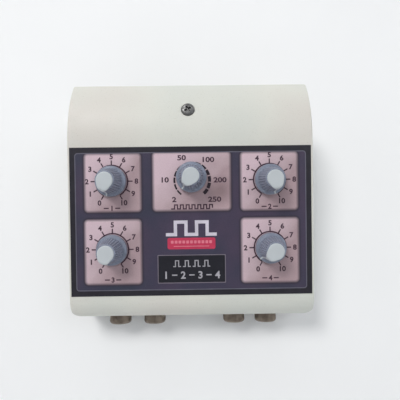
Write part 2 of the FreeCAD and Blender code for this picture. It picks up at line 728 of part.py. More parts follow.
def controls():
    nuts, washers = [], []
    for name, (u, v, pointer) in CHANNELS.items():
        knob(name, u, v, 90 + pointer)
        control(name, u, v)
        spot = on_panel(u, v, LABEL_TOP)
        washer = cut(rod("dims.washer_radius", "0", "dims.washer_thickness"),
                     rod("dims.bush_radius", "-1", "dims.washer_thickness + 1"))
        washers.append(bind(washer, Placement=spot))
        nut = cut(hexagon("dims.nut_width", "0", "dims.nut_height"),
                  rod("dims.bush_radius", "-1", "dims.nut_height + 1"))
        nuts.append(bind(nut, Placement=f"{spot} * {place(z='dims.washer_thickness')}"))
    keep(group(*washers), "control_washers")
    keep(group(*nuts), "control_nuts")


# ---- output sockets ----

def at_socket(x, inward="0"):
    """A placement on the front wall at a socket, with local +Z pointing out of the wall."""
    return place(x, f"{FRONT} - ({inward})", "dims.socket_height", FORWARD)


BUSH_END = "(dims.ferrule_length - 0.8)"
JACK_TAIL = f"({BUSH_END} - dims.jack_length - 2)"
CONTACTS = (-4, 4)


def jack(spot):
    """A socket body behind the front wall, with its bush through the wall."""
    half = ("-dims.jack_body / 2", "dims.jack_body / 2")
    housing = box(half, half, (JACK_TAIL, "-dims.wall"))
    bush = rod("dims.jack_bush", "-dims.wall", BUSH_END)
    bore = rod("dims.jack_bore", f"{BUSH_END} - dims.jack_length", f"{BUSH_END} + 1")
    return bind(cut(fuse(housing, bush), bore), Placement=spot)


def ferrule(spot):
    """The collar round a socket's bush, with a rolled outer rim."""
    rim = "dims.ferrule_round * 0.29"
    ring = turned([
        ("dims.jack_bush", "0"), ("dims.ferrule_radius", "0"),
        ("dims.ferrule_radius", "dims.ferrule_length - dims.ferrule_round"),
        (f"dims.ferrule_radius - {rim}", f"dims.ferrule_length - {rim}"),
        ("dims.ferrule_radius - dims.ferrule_round", "dims.ferrule_length"),
        ("dims.jack_bush", "dims.ferrule_length"),
    ])
    return bind(ring, Placement=spot)


def sockets():
    ferrules, contacts = [], []
    for number, x in enumerate(SOCKETS, 1):
        spot = at_socket(x)
        keep(jack(spot), f"output_jack_{number}")
        ferrules.append(ferrule(spot))
        for middle in CONTACTS:
            across = (f"{middle} - 1", f"{middle} + 1")
            contacts.append(box(across, ("-0.4", "0.4"), (f"{JACK_TAIL} - 6", JACK_TAIL), spot))
    keep(group(*ferrules), "jack_ferrules")
    keep(group(*contacts), "jack_contacts")


# ---- rear panel ----

def at_rear(x, z="dims.rear_line"):
    """A placement on the rear plate's outer face, with local +Z pointing out of the case."""
    return place(x, f"{REAR} - dims.wall", z, BACKWARD)


def rear_box(x, half_x, half_z, low, high):
    """A block centred on a rear fitting, from low to high out of the plate."""
    return box((f"-({half_x})", half_x), (f"-({half_z})", half_z), (low, high), at_rear(x))


def rear_plate():
    half = "(dims.rear_window_width / 2 + dims.rear_lap)"
    plate = box((f"-{half}", half),
                (f"{REAR} - dims.wall - dims.rear_plate", f"{REAR} - dims.wall"),
                (FLOOR, "dims.rear_window_high + dims.rear_lap"))
    through = ("-dims.rear_plate - 1", "1")
    inlet_hole = rear_box("dims.inlet_place", *INLET_SHELL[:2], *through)
    screw_holes = [
        rod("dims.screw_radius", *through, at_rear(f"dims.inlet_place + {x}")) for x in INLET_SCREWS
    ]
    fuse_hole = rod(FUSE_THREAD, *through, at_rear("dims.fuse_place"))
    switch_hole = rear_box("dims.switch_place", *SWITCH_BODY[:2], *through)
    keep(cut(plate, inlet_hole, *screw_holes, fuse_hole, switch_hole), "rear_plate")


def pin_box(x, z, half_x, half_z, low, high):
    """A block round one of the inlet's pins."""
    spot = f"{at_rear('dims.inlet_place')} * {place(x, z)}"
    return box((-half_x, half_x), (-half_z, half_z), (low, high), spot)


def mains_inlet():
    at = "dims.inlet_place"
    screw_spots = [at_rear(f"{at} + {x}") for x in INLET_SCREWS]
    screw_holes = [rod("dims.screw_radius", "-1", "4", spot) for spot in screw_spots]
    slots = [pin_box(x, z, *INLET_PIN_SLOT) for x, z in INLET_PINS]
    block = fuse(rear_box(at, *INLET_FLANGE), rear_box(at, *INLET_SHELL))
    keep(cut(block, rear_box(at, *INLET_CAVITY), *screw_holes, *slots), "mains_inlet")
    keep(group(*[pin_box(x, z, *INLET_PIN) for x, z in INLET_PINS]), "inlet_pins")
    face = place(z=INLET_FLANGE[3])
    screws = [screw("dims.screw_radius", "dims.screw_radius * 1.9", "1.8", "10", f"{spot} * {face}")
              for spot in screw_spots]
    keep(group(*screws), "inlet_screws")


def fuse_cap():
    """The fuse carrier's grip, stem and driver slot."""
    end = "(dims.wall + dims.fuse_cap_reach)"
    cap = turned([
        (0, FUSE_CAP_FOOT), (FUSE_STEM, FUSE_CAP_FOOT), (FUSE_STEM, FUSE_GRIP_START),
        (FUSE_GRIP, FUSE_GRIP_START), (FUSE_GRIP, f"{end} - 1"), (FUSE_GRIP - 1, end), (0, end),
    ])
    return cut(cap, box((-5, 5), (-0.7, 0.7), (f"{end} - 1.6", f"{end} + 1")))


def fuse_holder():
    spot = at_rear("dims.fuse_place")
    keep(bind(turned(FUSE_BARREL), Placement=spot), "fuse_holder")
    nut = cut(hexagon(FUSE_NUT_WIDTH, f"-dims.rear_plate - {FUSE_NUT_HEIGHT}", "-dims.rear_plate"),
              rod(FUSE_THREAD, "-dims.rear_plate - 5", "0"))
    keep(bind(nut, Placement=spot), "fuse_holder_nut")
    keep(bind(fuse_cap(), Placement=spot), "fuse_cap")
    link = rod(FUSE_LINK_RADIUS, FUSE_LINK_END, FUSE_CAP_FOOT)
    keep(bind(link, Placement=f"{spot} * {place(z=FUSE_LINK_END)}"), "fuse_link")


def power_switch():
    at = "dims.switch_place"
    pivot = f"{at_rear(at)} * {place(z=ROCKER_PIVOT)}"
    hole_half = ROCKER_PIN_HALF + ROCKER_PIN_END_PLAY
    pin_hole = rod(ROCKER_PIN + ROCKER_PIN_PLAY, -hole_half, hole_half, f"{pivot} * {SIDEWAYS}")
    block = fuse(rear_box(at, *SWITCH_BEZEL), rear_box(at, *SWITCH_BODY), rear_box(at, *SWITCH_TAG))
    keep(cut(block, rear_box(at, *SWITCH_WELL), pin_hole), "power_switch")
    body = new_body()
    side = sketch_on(body, "YZ_Plane")
    outline(side, ROCKER_SIDE)
    pad(body, side, ROCKER_WIDTH, centred=True)
    rocker = fuse(body, rod(ROCKER_PIN, -ROCKER_PIN_HALF, ROCKER_PIN_HALF, SIDEWAYS))
    tilt = place(rotation=f"rotation(vector(1; 0; 0); {ROCKER_TILT})")
    keep(bind(rocker, Placement=f"{pivot} * {tilt}"), "power_rocker")


# ---- boards ----

def on_board(x, y, half_x, half_y, high, low):
    """A block on the board at x, y from the board's centre."""
    return box((x - half_x, x + half_x), (y - half_y, y + half_y), (low, high),
               place("0", "dims.board_shift", BOARD_TOP))


def main_board():
    board = box(("-dims.board_width / 2", "dims.board_width / 2"),
                ("-dims.board_depth / 2 + dims.board_shift", "dims.board_depth / 2 + dims.board_shift"),
                (BOARD_UNDER, BOARD_TOP))
    holes = rods_at(BOARD_CORNERS, "dims.screw_radius", f"{BOARD_UNDER} - 1", f"{BOARD_TOP} + 1")
    keep(cut(board, *holes), "main_board")


def pulse_transformers():
    cores, coils = [], []
    for x in OUTPUT_COLUMNS:
        core = cut(on_board(x, PULSE_ROW, *PULSE_CORE), on_board(x, PULSE_ROW, *PULSE_WINDOW))
        cores.append(fuse(core, on_board(x, PULSE_ROW, *PULSE_LEG)))
        coils.append(cut(on_board(x, PULSE_ROW, *PULSE_COIL), on_board(x, PULSE_ROW, *PULSE_COIL_HOLE)))
    keep(group(*cores), "pulse_transformer_cores")
    keep(group(*coils), "pulse_transformer_coils")


def board_parts():
    keep(group(*[on_board(x, CHIP_ROW, *CHIP) for x in CHIP_COLUMNS]), "logic_chips")
    transistors = []
    for x in OUTPUT_COLUMNS:
        legs = on_board(x, TRANSISTOR_ROW, *TRANSISTOR_LEGS)
        transistors.append(fuse(on_board(x, TRANSISTOR_ROW, *TRANSISTOR), legs))
    keep(group(*transistors), "output_transistors")
    fins = [on_board(SINK_PLACE[0] + x, SINK_FIN_ROW, *SINK_FIN) for x in SINK_FINS]
    keep(fuse(on_board(*SINK_PLACE, *SINK_WALL), *fins), "heat_sink")
    regulator = fuse(on_board(*REGULATOR_PLACE, *REGULATOR), on_board(*REGULATOR_PLACE, *REGULATOR_LEGS))
    keep(regulator, "voltage_regulator")
    row = f"dims.board_shift + {CAPACITOR_ROW}"
    cans = [rod(CAPACITOR_RADIUS, 0, CAPACITOR_HEIGHT, place(x, row, BOARD_TOP)) for x in CAPACITOR_COLUMNS]
    keep(group(*cans), "filter_capacitors")
    keep(group(*[on_board(x, TERMINAL_ROW, *TERMINALS) for x in TERMINAL_COLUMNS]), "terminal_blocks")


def mains_block(half_x, half_y, low, high):
    """A block of the mains transformer, centred on it."""
    return box((-half_x, half_x), (-half_y, half_y), (low, high),
               place(TRANSFORMER_X, TRANSFORMER_Y, BRACKET_UNDER))


def mains_transformer():
    core = cut(mains_block(*MAINS_CORE), mains_block(*MAINS_WINDOW))
    keep(fuse(core, mains_block(*MAINS_LEG)), "mains_transformer_core")
    keep(cut(mains_block(*MAINS_COIL), mains_block(*MAINS_COIL_HOLE)), "mains_transformer_coil")
    strap = cut(mains_block(*STRAP), mains_block(*STRAP_INSIDE))
    ear_holes = rods_at(BRACKET_EARS, "dims.screw_radius", f"{BRACKET_UNDER} - 1", f"{BRACKET_UNDER} + 3")
    ears = cut(mains_block(*EARS), mains_block(*EARS_GAP), *ear_holes)
    keep(fuse(strap, ears), "transformer_bracket")
    seat = f"{BRACKET_UNDER} + {EARS[3]}"
    keep(screws_at(BRACKET_EARS, "1.8", "5.2", seat), "transformer_screws")


def build():
    base_tray()
    top_cover()
    label()
    controls()
    sockets()
    rear_plate()
    mains_inlet()
    fuse_holder()
    power_switch()
    main_board()
    pulse_transformers()
    board_parts()
    mains_transformer()
    fasteners()
    rubber_feet()


def export():
    doc.recompute()
    for thing in doc.Objects:
        if {"Invalid", "Error"} & set(thing.State):
            raise RuntimeError(f"{thing.Label} ({thing.TypeId}) did not build")
    os.makedirs("parts", exist_ok=True)
    for thing in nodes:
        shape = thing.Shape
        if shape.isNull() or not shape.isValid():
            raise RuntimeError(f"{thing.Label} has no valid shape")
    for thing in nodes:
        thing.Shape.exportStep(f"parts/{thing.Label}.step")


build()
export()
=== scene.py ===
"""A four-channel tens unit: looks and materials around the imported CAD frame. Lengths are in metres."""
import json
import math

import bmesh
import bpy
from mathutils import Matrix, Vector


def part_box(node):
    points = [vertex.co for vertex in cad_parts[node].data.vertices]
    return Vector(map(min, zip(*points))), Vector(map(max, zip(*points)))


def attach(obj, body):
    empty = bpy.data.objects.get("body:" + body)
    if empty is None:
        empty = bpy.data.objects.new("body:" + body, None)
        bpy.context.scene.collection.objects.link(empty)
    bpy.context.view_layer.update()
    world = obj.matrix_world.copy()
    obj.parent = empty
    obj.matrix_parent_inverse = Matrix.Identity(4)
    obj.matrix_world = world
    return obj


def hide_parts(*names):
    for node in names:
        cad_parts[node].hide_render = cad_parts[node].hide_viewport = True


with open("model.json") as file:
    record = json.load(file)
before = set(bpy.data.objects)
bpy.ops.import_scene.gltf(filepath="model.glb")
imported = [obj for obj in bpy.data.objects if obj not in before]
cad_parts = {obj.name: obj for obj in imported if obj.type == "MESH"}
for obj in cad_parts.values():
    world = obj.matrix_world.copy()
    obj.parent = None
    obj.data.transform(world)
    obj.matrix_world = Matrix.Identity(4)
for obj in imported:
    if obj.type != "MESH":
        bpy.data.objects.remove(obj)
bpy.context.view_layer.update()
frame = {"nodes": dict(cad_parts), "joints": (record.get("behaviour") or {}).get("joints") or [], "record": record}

MM = 0.001
CHANNELS = ["ch1", "ch2", "ch3", "ch4", "frequency"]
joints = {joint["name"]: joint for joint in frame["joints"]}


# ---- frames of reference ----

OUT = -Vector(joints["ch1_turn"]["axis"]).normalized()
RIGHT = Vector((1, 0, 0))
UP = OUT.cross(RIGHT)


def reach(node, direction):
    """Lowest and highest extent of a CAD node along a direction."""
    spots = [vertex.co.dot(direction) for vertex in frame["nodes"][node].data.vertices]
    return min(spots), max(spots)


def axes_matrix(x, y, z, origin):
    turn = Matrix((x, y, z)).transposed().to_4x4()
    return Matrix.Translation(origin) @ turn


label_x = reach("panel_label", RIGHT)
label_v = reach("panel_label", UP)
LABEL_TOP = reach("panel_label", OUT)[1]
LABEL_WIDTH = label_x[1] - label_x[0]
LABEL_DEPTH = label_v[1] - label_v[0]
PANEL_CENTRE = RIGHT * (sum(label_x) / 2) + UP * (sum(label_v) / 2) + OUT * LABEL_TOP
PANEL = axes_matrix(RIGHT, UP, OUT, PANEL_CENTRE)


def dial_spot(channel):
    """A dial's centre on the label, right and up from the label's centre."""
    away = Vector(joints[channel + "_turn"]["pos_m"]) - PANEL_CENTRE
    return away.dot(RIGHT), away.dot(UP)


# ---- materials ----

def srgb(red, green, blue):
    """A linear colour from 0 to 255 display values."""
    def linear(level):
        level /= 255
        return level / 12.92 if level <= 0.04045 else ((level + 0.055) / 1.055) ** 2.4
    return (linear(red), linear(green), linear(blue), 1)


def shade(colour, factor):
    """The same hue, darker or lighter."""
    return (colour[0] * factor, colour[1] * factor, colour[2] * factor, 1)


WHITE = srgb(255, 255, 255)


class Shader:
    """A material's node tree, with short ways to add nodes and links."""

    def __init__(self, name):
        self.material = bpy.data.materials.new(name)
        self.material.use_nodes = True
        self.tree = self.material.node_tree
        self.surface = self.tree.nodes["Principled BSDF"]

    def node(self, kind, **settings):
        made = self.tree.nodes.new("ShaderNode" + kind)
        for name, setting in settings.items():
            setattr(made, name, setting)
        return made

    def link(self, source, target):
        self.tree.links.new(source, target)

    def feed(self, given, socket):
        """Links another node's output to a socket, or sets a plain value on it."""
        if hasattr(given, "is_linked"):
            self.link(given, socket)
        else:
            socket.default_value = given

    def place(self):
        return self.node("TexCoord").outputs["Object"]

    def noise(self, size, detail=2.0, source=None):
        """Noise whose blotches are about this size."""
        made = self.node("TexNoise")
        made.inputs["Scale"].default_value = 1 / size
        made.inputs["Detail"].default_value = detail
        self.link(source or self.place(), made.inputs["Vector"])
        return made.outputs["Fac"]

    def stretch(self, x, y, z):
        """Object coordinates scaled along each axis."""
        made = self.node("Mapping")
        made.inputs["Scale"].default_value = (x, y, z)
        self.link(self.place(), made.inputs["Vector"])
        return made.outputs["Vector"]

    def ramp(self, fac, stops):
        made = self.node("ValToRGB")
        elements = made.color_ramp.elements
        while len(elements) < len(stops):
            elements.new(0.5)
        for element, (position, colour) in zip(elements, stops):
            element.position = position
            element.color = colour
        self.link(fac, made.inputs["Fac"])
        return made.outputs["Color"]

    def blend(self, fac, first, second, mode="MIX"):
        made = self.node("Mix", data_type="RGBA", blend_type=mode)
        self.feed(fac, made.inputs[0])
        self.feed(first, made.inputs[6])
        self.feed(second, made.inputs[7])
        return made.outputs[2]

    def span(self, fac, low, high, start=0.0, end=1.0):
        made = self.node("MapRange")
        made.inputs["From Min"].default_value = start
        made.inputs["From Max"].default_value = end
        made.inputs["To Min"].default_value = low
        made.inputs["To Max"].default_value = high
        self.link(fac, made.inputs["Value"])
        return made.outputs["Result"]

    def maths(self, operation, first, second=0.0):
        made = self.node("Math", operation=operation)
        self.feed(first, made.inputs[0])
        self.feed(second, made.inputs[1])
        return made.outputs[0]

    def bump(self, height, depth, strength=1.0):
        made = self.node("Bump")
        made.inputs["Distance"].default_value = depth
        made.inputs["Strength"].default_value = strength
        self.link(height, made.inputs["Height"])
        self.link(made.outputs["Normal"], self.surface.inputs["Normal"])

    def colour(self, source):
        self.link(source, self.surface.inputs["Base Color"])

    def mottled(self, colour, amount, fac):
        """A colour that goes this share darker and lighter with fac."""
        return self.ramp(fac, [(0.3, shade(colour, 1 - amount)), (0.7, shade(colour, 1 + amount))])

    def uneven_gloss(self, size, detail, low, high):
        """Roughness that wanders between two values in blotches of about this size."""
        rough = self.span(self.noise(size, detail), low, high, 0.3, 0.7)
        self.link(rough, self.surface.inputs["Roughness"])

    def setting(self, name, number):
        self.surface.inputs[name].default_value = number


def moulded(name, colour, rough=0.45, grain=0.35 * MM, depth=0.02 * MM, mottle=0.06, specular=0.4):
    """Moulded plastic: fine spark grain, slight cloudiness and uneven gloss."""
    shader = Shader(name)
    shader.colour(shader.mottled(colour, mottle, shader.noise(22 * MM, 3)))
    shader.uneven_gloss(5 * MM, 4, rough - 0.06, rough + 0.08)
    shader.setting("Specular IOR Level", specular)
    shader.bump(shader.noise(grain, 2), depth, 0.6)
    return shader.material


def metal(name, colour, rough=0.3, tarnish=0.25, tarnish_colour=None, size=2.5 * MM):
    """Plated or bare metal with patches of duller, darker surface and fine scratches."""
    shader = Shader(name)
    dull = tarnish_colour or shade(colour, 0.55)
    patches = shader.noise(size, 5)
    shader.colour(shader.ramp(patches, [(0.42, colour), (0.42 + tarnish, dull)]))
    scratches = shader.noise(0.4 * MM, 2, shader.stretch(1, 6, 1))
    wear = shader.maths("ADD", patches, shader.maths("MULTIPLY", scratches, 0.4))
    shader.link(shader.span(wear, rough - 0.08, rough + 0.22, 0.4, 1.0), shader.surface.inputs["Roughness"])
    shader.setting("Metallic", 1.0)
    shader.bump(scratches, 0.01 * MM, 0.5)
    return shader.material


def case_plastic():
    """Cream ABS, a little yellowed in broad clouds, with a fine moulded grain."""
    shader = Shader("case_cream_abs")
    cream = srgb(222, 222, 214)
    warm = srgb(220, 216, 209)
    cool = srgb(216, 219, 212)
    broad = shader.noise(95 * MM, 1.5)
    base = shader.ramp(broad, [(0.35, warm), (0.5, cream), (0.68, cool)])
    specks = shader.ramp(shader.noise(0.9 * MM, 3), [(0.25, srgb(206, 204, 196)), (0.4, WHITE)])
    shader.colour(shader.blend(0.35, base, specks, "MULTIPLY"))
    shader.uneven_gloss(9 * MM, 4, 0.4, 0.54)
    shader.setting("Specular IOR Level", 0.42)
    shader.setting("Subsurface Weight", 0.05)
    shader.setting("Subsurface Radius", (2 * MM, 1.6 * MM, 1.2 * MM))
    shader.bump(shader.noise(0.45 * MM, 2), 0.03 * MM, 0.55)
    return shader.material


def ink(name, colour, rough=0.38, mottle=0.1):
    """Screen-printed ink on film: slight unevenness in density and gloss."""
    shader = Shader(name)
    shader.colour(shader.mottled(colour, mottle, shader.noise(6 * MM, 4)))
    shader.uneven_gloss(1.5 * MM, 3, rough - 0.05, rough + 0.07)
    shader.setting("Specular IOR Level", 0.35)
    shader.bump(shader.noise(0.25 * MM, 2), 0.006 * MM, 0.4)
    return shader.material


def field_colour(shader):
    """Dark violet-grey, bluer in places, with a fine print screen."""
    broad = shader.noise(38 * MM, 2)
    base = shader.ramp(broad, [(0.35, srgb(80, 70, 90)), (0.55, srgb(70, 67, 86)), (0.7, srgb(62, 66, 82))])
    fine = shader.ramp(shader.noise(0.6 * MM, 2), [(0.3, srgb(214, 214, 220)), (0.7, WHITE)])
    return shader.blend(0.5, base, fine, "MULTIPLY")


def print_gloss(shader):
    shader.uneven_gloss(2 * MM, 3, 0.36, 0.48)
    shader.setting("Specular IOR Level", 0.3)
    shader.bump(shader.noise(0.25 * MM, 2), 0.006 * MM, 0.4)


def field_ink():
    shader = Shader("field_violet_ink")
    shader.colour(field_colour(shader))
    print_gloss(shader)
    return shader.material


def place_in_patch(shader, low, high):
    """A point's place from its window's centre; low and high are the printed patch's corners from there."""
    spot = shader.node("VectorMath", operation="MULTIPLY_ADD")
    shader.link(shader.node("TexCoord").outputs["Generated"], spot.inputs[0])
    spot.inputs[1].default_value = (high[0] - low[0], high[1] - low[1], 0)
    spot.inputs[2].default_value = (low[0], low[1], 0)
    return spot.outputs["Vector"]


def edge_distance(shader, across, upward, half, corner):
    """How far a point is outside a rounded rectangle about the centre, negative inside."""
    past = []
    for distance, limit in ((across, half[0]), (upward, half[1])):
        past.append(shader.maths("SUBTRACT", shader.maths("ABSOLUTE", distance), limit - corner))
    outside = [shader.maths("POWER", shader.maths("MAXIMUM", beyond, 0.0), 2.0) for beyond in past]
    rounded_off = shader.maths("SQRT", shader.maths("ADD", *outside))
    inside = shader.maths("MINIMUM", shader.maths("MAXIMUM", *past), 0.0)
    return shader.maths("SUBTRACT", shader.maths("ADD", rounded_off, inside), corner)


def window_pink(shader, spot, across, upward, half, shadow):
    """Pink with painted shade: browner to the lower right, where the knobs' shade falls, and darkest in one soft
    spot of painted shadow.
    """
    # Painted shade: the pink darkens along a diagonal towards the lower right, as under a light from the upper
    # left.
    knob_shade_slant = shader.maths("SUBTRACT", shader.maths("MULTIPLY", across, 0.5 / half[0]),
                         shader.maths("MULTIPLY", upward, 0.42 / half[1]))
    cloud = shader.maths("MULTIPLY", shader.noise(17 * MM, 2), 0.5)
    shade_at = shader.span(shader.maths("ADD", knob_shade_slant, cloud), 0.0, 1.0, -0.6, 1.2)
    base = shader.ramp(shade_at, [(0.2, srgb(222, 199, 208)), (0.42, srgb(210, 188, 195)),
                                  (0.62, srgb(182, 159, 164)), (0.85, srgb(190, 166, 171))])
    dots = shader.ramp(shader.noise(0.5 * MM, 1), [(0.3, srgb(236, 230, 232)), (0.7, WHITE)])
    pink = shader.blend(0.6, base, dots, "MULTIPLY")
    # Painted shadow: a soft brown spot at the window's lower right, as strong as shadow says.
    away = shader.node("VectorMath", operation="DISTANCE")
    shader.link(spot, away.inputs[0])
    away.inputs[1].default_value = (0.74 * half[0], -0.34 * half[1], 0)
    painted_shadow_amount = shader.span(away.outputs["Value"], shadow, 0.0, 2 * MM, 13 * MM)
    return shader.blend(painted_shadow_amount, pink, srgb(88, 68, 68))


def window_ink(name, low, high, half, corner, shadow):
    """A dial's pink window with soft edges and a dark halo in the field around it.

    low and high are the printed patch's corners from the window's centre, half is half the window's
    size, corner is its corner radius, and shadow is how dark its painted shadow gets at its darkest spot.
    """
    shader = Shader(name)
    spot = place_in_patch(shader, low, high)
    split = shader.node("SeparateXYZ")
    shader.link(spot, split.inputs["Vector"])
    across, upward = split.outputs["X"], split.outputs["Y"]
    edge = edge_distance(shader, across, upward, half, corner)
    pink = window_pink(shader, spot, across, upward, half, shadow)
    halo_fade = shader.span(edge, 0.0, 1.0, 0.8 * MM, 2.4 * MM)
    halo = shader.blend(halo_fade, srgb(60, 54, 67), field_colour(shader))
    fade = shader.span(edge, 0.0, 1.0, -1.4 * MM, 0.9 * MM)
    shader.colour(shader.blend(fade, pink, halo))
    print_gloss(shader)
    return shader.material


def knob_plastic():
    """Blue-grey knob moulding with rubbed, paler ridges."""
    shader = Shader("knob_blue_grey")
    colour = srgb(128, 135, 153)
    base = shader.ramp(shader.noise(4 * MM, 4), [(0.3, shade(colour, 0.86)), (0.7, shade(colour, 1.1))])
    ridges = shader.span(shader.node("NewGeometry").outputs["Pointiness"], 0.0, 0.55, 0.51, 0.6)
    shader.colour(shader.blend(ridges, base, srgb(168, 174, 188)))
    shader.uneven_gloss(1.2 * MM, 3, 0.34, 0.5)
    shader.setting("Specular IOR Level", 0.5)
    shader.bump(shader.noise(0.3 * MM, 2), 0.015 * MM, 0.6)
    return shader.material


def circuit_board():
    """Green solder mask over a grid of copper tracks."""
    shader = Shader("solder_mask_green")
    bricks = shader.node("TexBrick")
    bricks.inputs["Scale"].default_value = 1 / (9 * MM)
    bricks.inputs["Mortar Size"].default_value = 0.03
    bricks.inputs["Color1"].default_value = srgb(22, 92, 52)
    bricks.inputs["Color2"].default_value = srgb(26, 104, 58)
    bricks.inputs["Mortar"].default_value = srgb(58, 140, 74)
    shader.link(shader.place(), bricks.inputs["Vector"])
    shader.colour(bricks.outputs["Color"])
    shader.uneven_gloss(3 * MM, 3, 0.25, 0.4)
    shader.bump(bricks.outputs["Fac"], 0.03 * MM, 0.6)
    return shader.material


def winding():
    """Varnished copper wire, wound in close turns."""
    shader = Shader("copper_winding")
    waves = shader.node("TexWave", bands_direction="Z")
    waves.inputs["Scale"].default_value = 1 / (1.4 * MM)
    shader.link(shader.place(), waves.inputs["Vector"])
    shader.colour(shader.ramp(waves.outputs["Fac"], [(0.1, srgb(96, 48, 22)), (0.9, srgb(198, 116, 62))]))
    shader.uneven_gloss(2 * MM, 3, 0.28, 0.42)
    shader.setting("Metallic", 0.8)
    shader.bump(waves.outputs["Fac"], 0.12 * MM, 0.8)
    return shader.material


def laminations():
    """A stack of thin varnished iron sheets."""
    shader = Shader("iron_laminations")
    waves = shader.node("TexWave", bands_direction="Y")
    waves.inputs["Scale"].default_value = 1 / (1.6 * MM)
    shader.link(shader.place(), waves.inputs["Vector"])
    shader.colour(shader.ramp(waves.outputs["Fac"], [(0.2, srgb(52, 48, 46)), (0.8, srgb(112, 106, 100))]))
    shader.uneven_gloss(2 * MM, 3, 0.4, 0.6)
    shader.setting("Metallic", 0.7)
    shader.bump(waves.outputs["Fac"], 0.08 * MM, 0.7)
    return shader.material


def clear_glass():
    shader = Shader("fuse_clear_glass")
    haze = shader.noise(6 * MM)
    shader.colour(shader.ramp(haze, [(0.3, srgb(226, 236, 236)), (0.7, srgb(244, 250, 250))]))
    shader.uneven_gloss(3 * MM, 3, 0.03, 0.1)
    shader.setting("Transmission Weight", 0.85)
    shader.setting("IOR", 1.5)
    return shader.material


def floor_paint():
    """A pale, very slightly mottled studio floor."""
    shader = Shader("studio_floor")
    cloud = shader.noise(180 * MM, 2)
    shader.colour(shader.ramp(cloud, [(0.3, srgb(249, 250, 251)), (0.7, srgb(252, 253, 254))]))
    shader.setting("Roughness", 0.85)
    shader.setting("Specular IOR Level", 0.1)
    return shader.material


MATERIALS = {
    "case_plastic": case_plastic(),
    "label_film": ink("label_film_edge", srgb(60, 56, 66)),
    "knob_plastic": knob_plastic(),
    "cap_plastic": moulded("cap_light_grey", srgb(196, 202, 206), 0.42, 0.3 * MM, 0.012 * MM, 0.03),
    "dark_steel": metal("screw_dark_steel", srgb(128, 128, 128), 0.34, 0.2),
    "zinc_steel": metal("zinc_plate", srgb(196, 199, 202), 0.3, 0.3),
    "shaft_metal": metal("turned_aluminium", srgb(200, 201, 204), 0.28, 0.4),
    "black_rubber": moulded("foot_black_rubber", srgb(36, 36, 37), 0.72, 0.5 * MM, 0.05 * MM, 0.12, 0.25),
    "black_plastic": moulded("black_moulding", srgb(34, 34, 36), 0.4, 0.4 * MM, 0.03 * MM, 0.1),
    "jack_plastic": moulded("jack_black_nylon", srgb(40, 39, 40), 0.36, 0.4 * MM, 0.02 * MM, 0.1),
    "green_plastic": moulded("terminal_green", srgb(38, 124, 72), 0.4),
    "red_plastic": moulded("rocker_red", srgb(178, 26, 26), 0.22, 0.4 * MM, 0.01 * MM, 0.08, 0.5),
    "grey_plate": moulded("rear_plate_grey", srgb(196, 196, 190), 0.5, 0.4 * MM, 0.03 * MM, 0.03),
    "circuit_board": circuit_board(),
    "core_iron": laminations(),
    "copper_winding": winding(),
    "tinned_brass": metal("tinned_brass", srgb(206, 198, 170), 0.25, 0.3),
    # Painted shade and painted reflection: the nickel's dull brown-grey colour stands for shadow under the lip and
    # a brown surrounding reflected in the metal; its darker patches are tarnish.
    "aged_nickel": metal("aged_nickel", srgb(136, 125, 114), 0.42, 0.45, srgb(92, 80, 72), 5 * MM),
    "black_aluminium": metal("anodised_black", srgb(44, 44, 47), 0.42, 0.4),
    "fuse_glass": clear_glass(),
}
INKS = {
    "border": ink("border_black_ink", srgb(43, 41, 49)),
    "field": field_ink(),
    "line": ink("outline_grey_ink", srgb(104, 102, 116)),
    "figures": ink("figures_maroon_ink", srgb(72, 50, 64)),
    "segments": ink("segments_black_ink", srgb(46, 36, 46)),
    "white": ink("mark_white_ink", srgb(214, 208, 220)),
    "red": ink("band_red_ink", srgb(200, 62, 92)),
    "pale_red": ink("band_pale_ink", srgb(224, 128, 146)),
    "plaque": ink("plaque_black_ink", srgb(34, 34, 42)),
    "plaque_line": ink("plaque_line_ink", srgb(124, 116, 128)),
    "plaque_figures": ink("plaque_pale_ink", srgb(178, 176, 184)),
}
slot_of = {part["node"]: part["material_slot"] for part in frame["record"]["subparts"]}
for node, thing in frame["nodes"].items():
    thing.data.materials.clear()
    thing.data.materials.append(MATERIALS[slot_of[node]])


# ---- mesh building ----

def new_piece(name, mesh, material, body, place=None, smooth=False):
    """Links a mesh as a piece that rides on a body, moved to its placement in the row frame."""
    if place is not None:
        mesh.transform(place)
    thing = bpy.data.objects.new(name, mesh)
    bpy.context.scene.collection.objects.link(thing)
    mesh.materials.append(material)
    for polygon in mesh.polygons:
        polygon.use_smooth = smooth
    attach(thing, body)
    return thing


def mesh_from(name, made):
    bmesh.ops.recalc_face_normals(made, faces=made.faces)
    mesh = bpy.data.meshes.new(name)
    made.to_mesh(mesh)
    made.free()
    return mesh


def circle(x, y, radius):
    count = 48
    angles = [2 * math.pi * i / count for i in range(count)]
    return [(x + radius * math.cos(angle), y + radius * math.sin(angle)) for angle in angles]


def rounded(x, y, half_x, half_y, radius, steps=6):
    """A rectangle with rounded corners, centred at x, y."""
    points = []
    for corner, (side, end) in enumerate(((1, 1), (-1, 1), (-1, -1), (1, -1))):
        for i in range(steps + 1):
            angle = math.pi / 2 * (corner + i / steps)
            points.append((x + side * (half_x - radius) + radius * math.cos(angle),
                           y + end * (half_y - radius) + radius * math.sin(angle)))
    return points


def arc_band(x, y, radius, start, end, width, steps):
    """A curved band between two clockwise angles from the top."""
    inner, outer = [], []
    for i in range(steps + 1):
        angle = math.radians(start + (end - start) * i / steps)
        for side, points in ((-width / 2, inner), (width / 2, outer)):
            points.append((x + (radius + side) * math.sin(angle), y + (radius + side) * math.cos(angle)))
    return inner + outer[::-1]


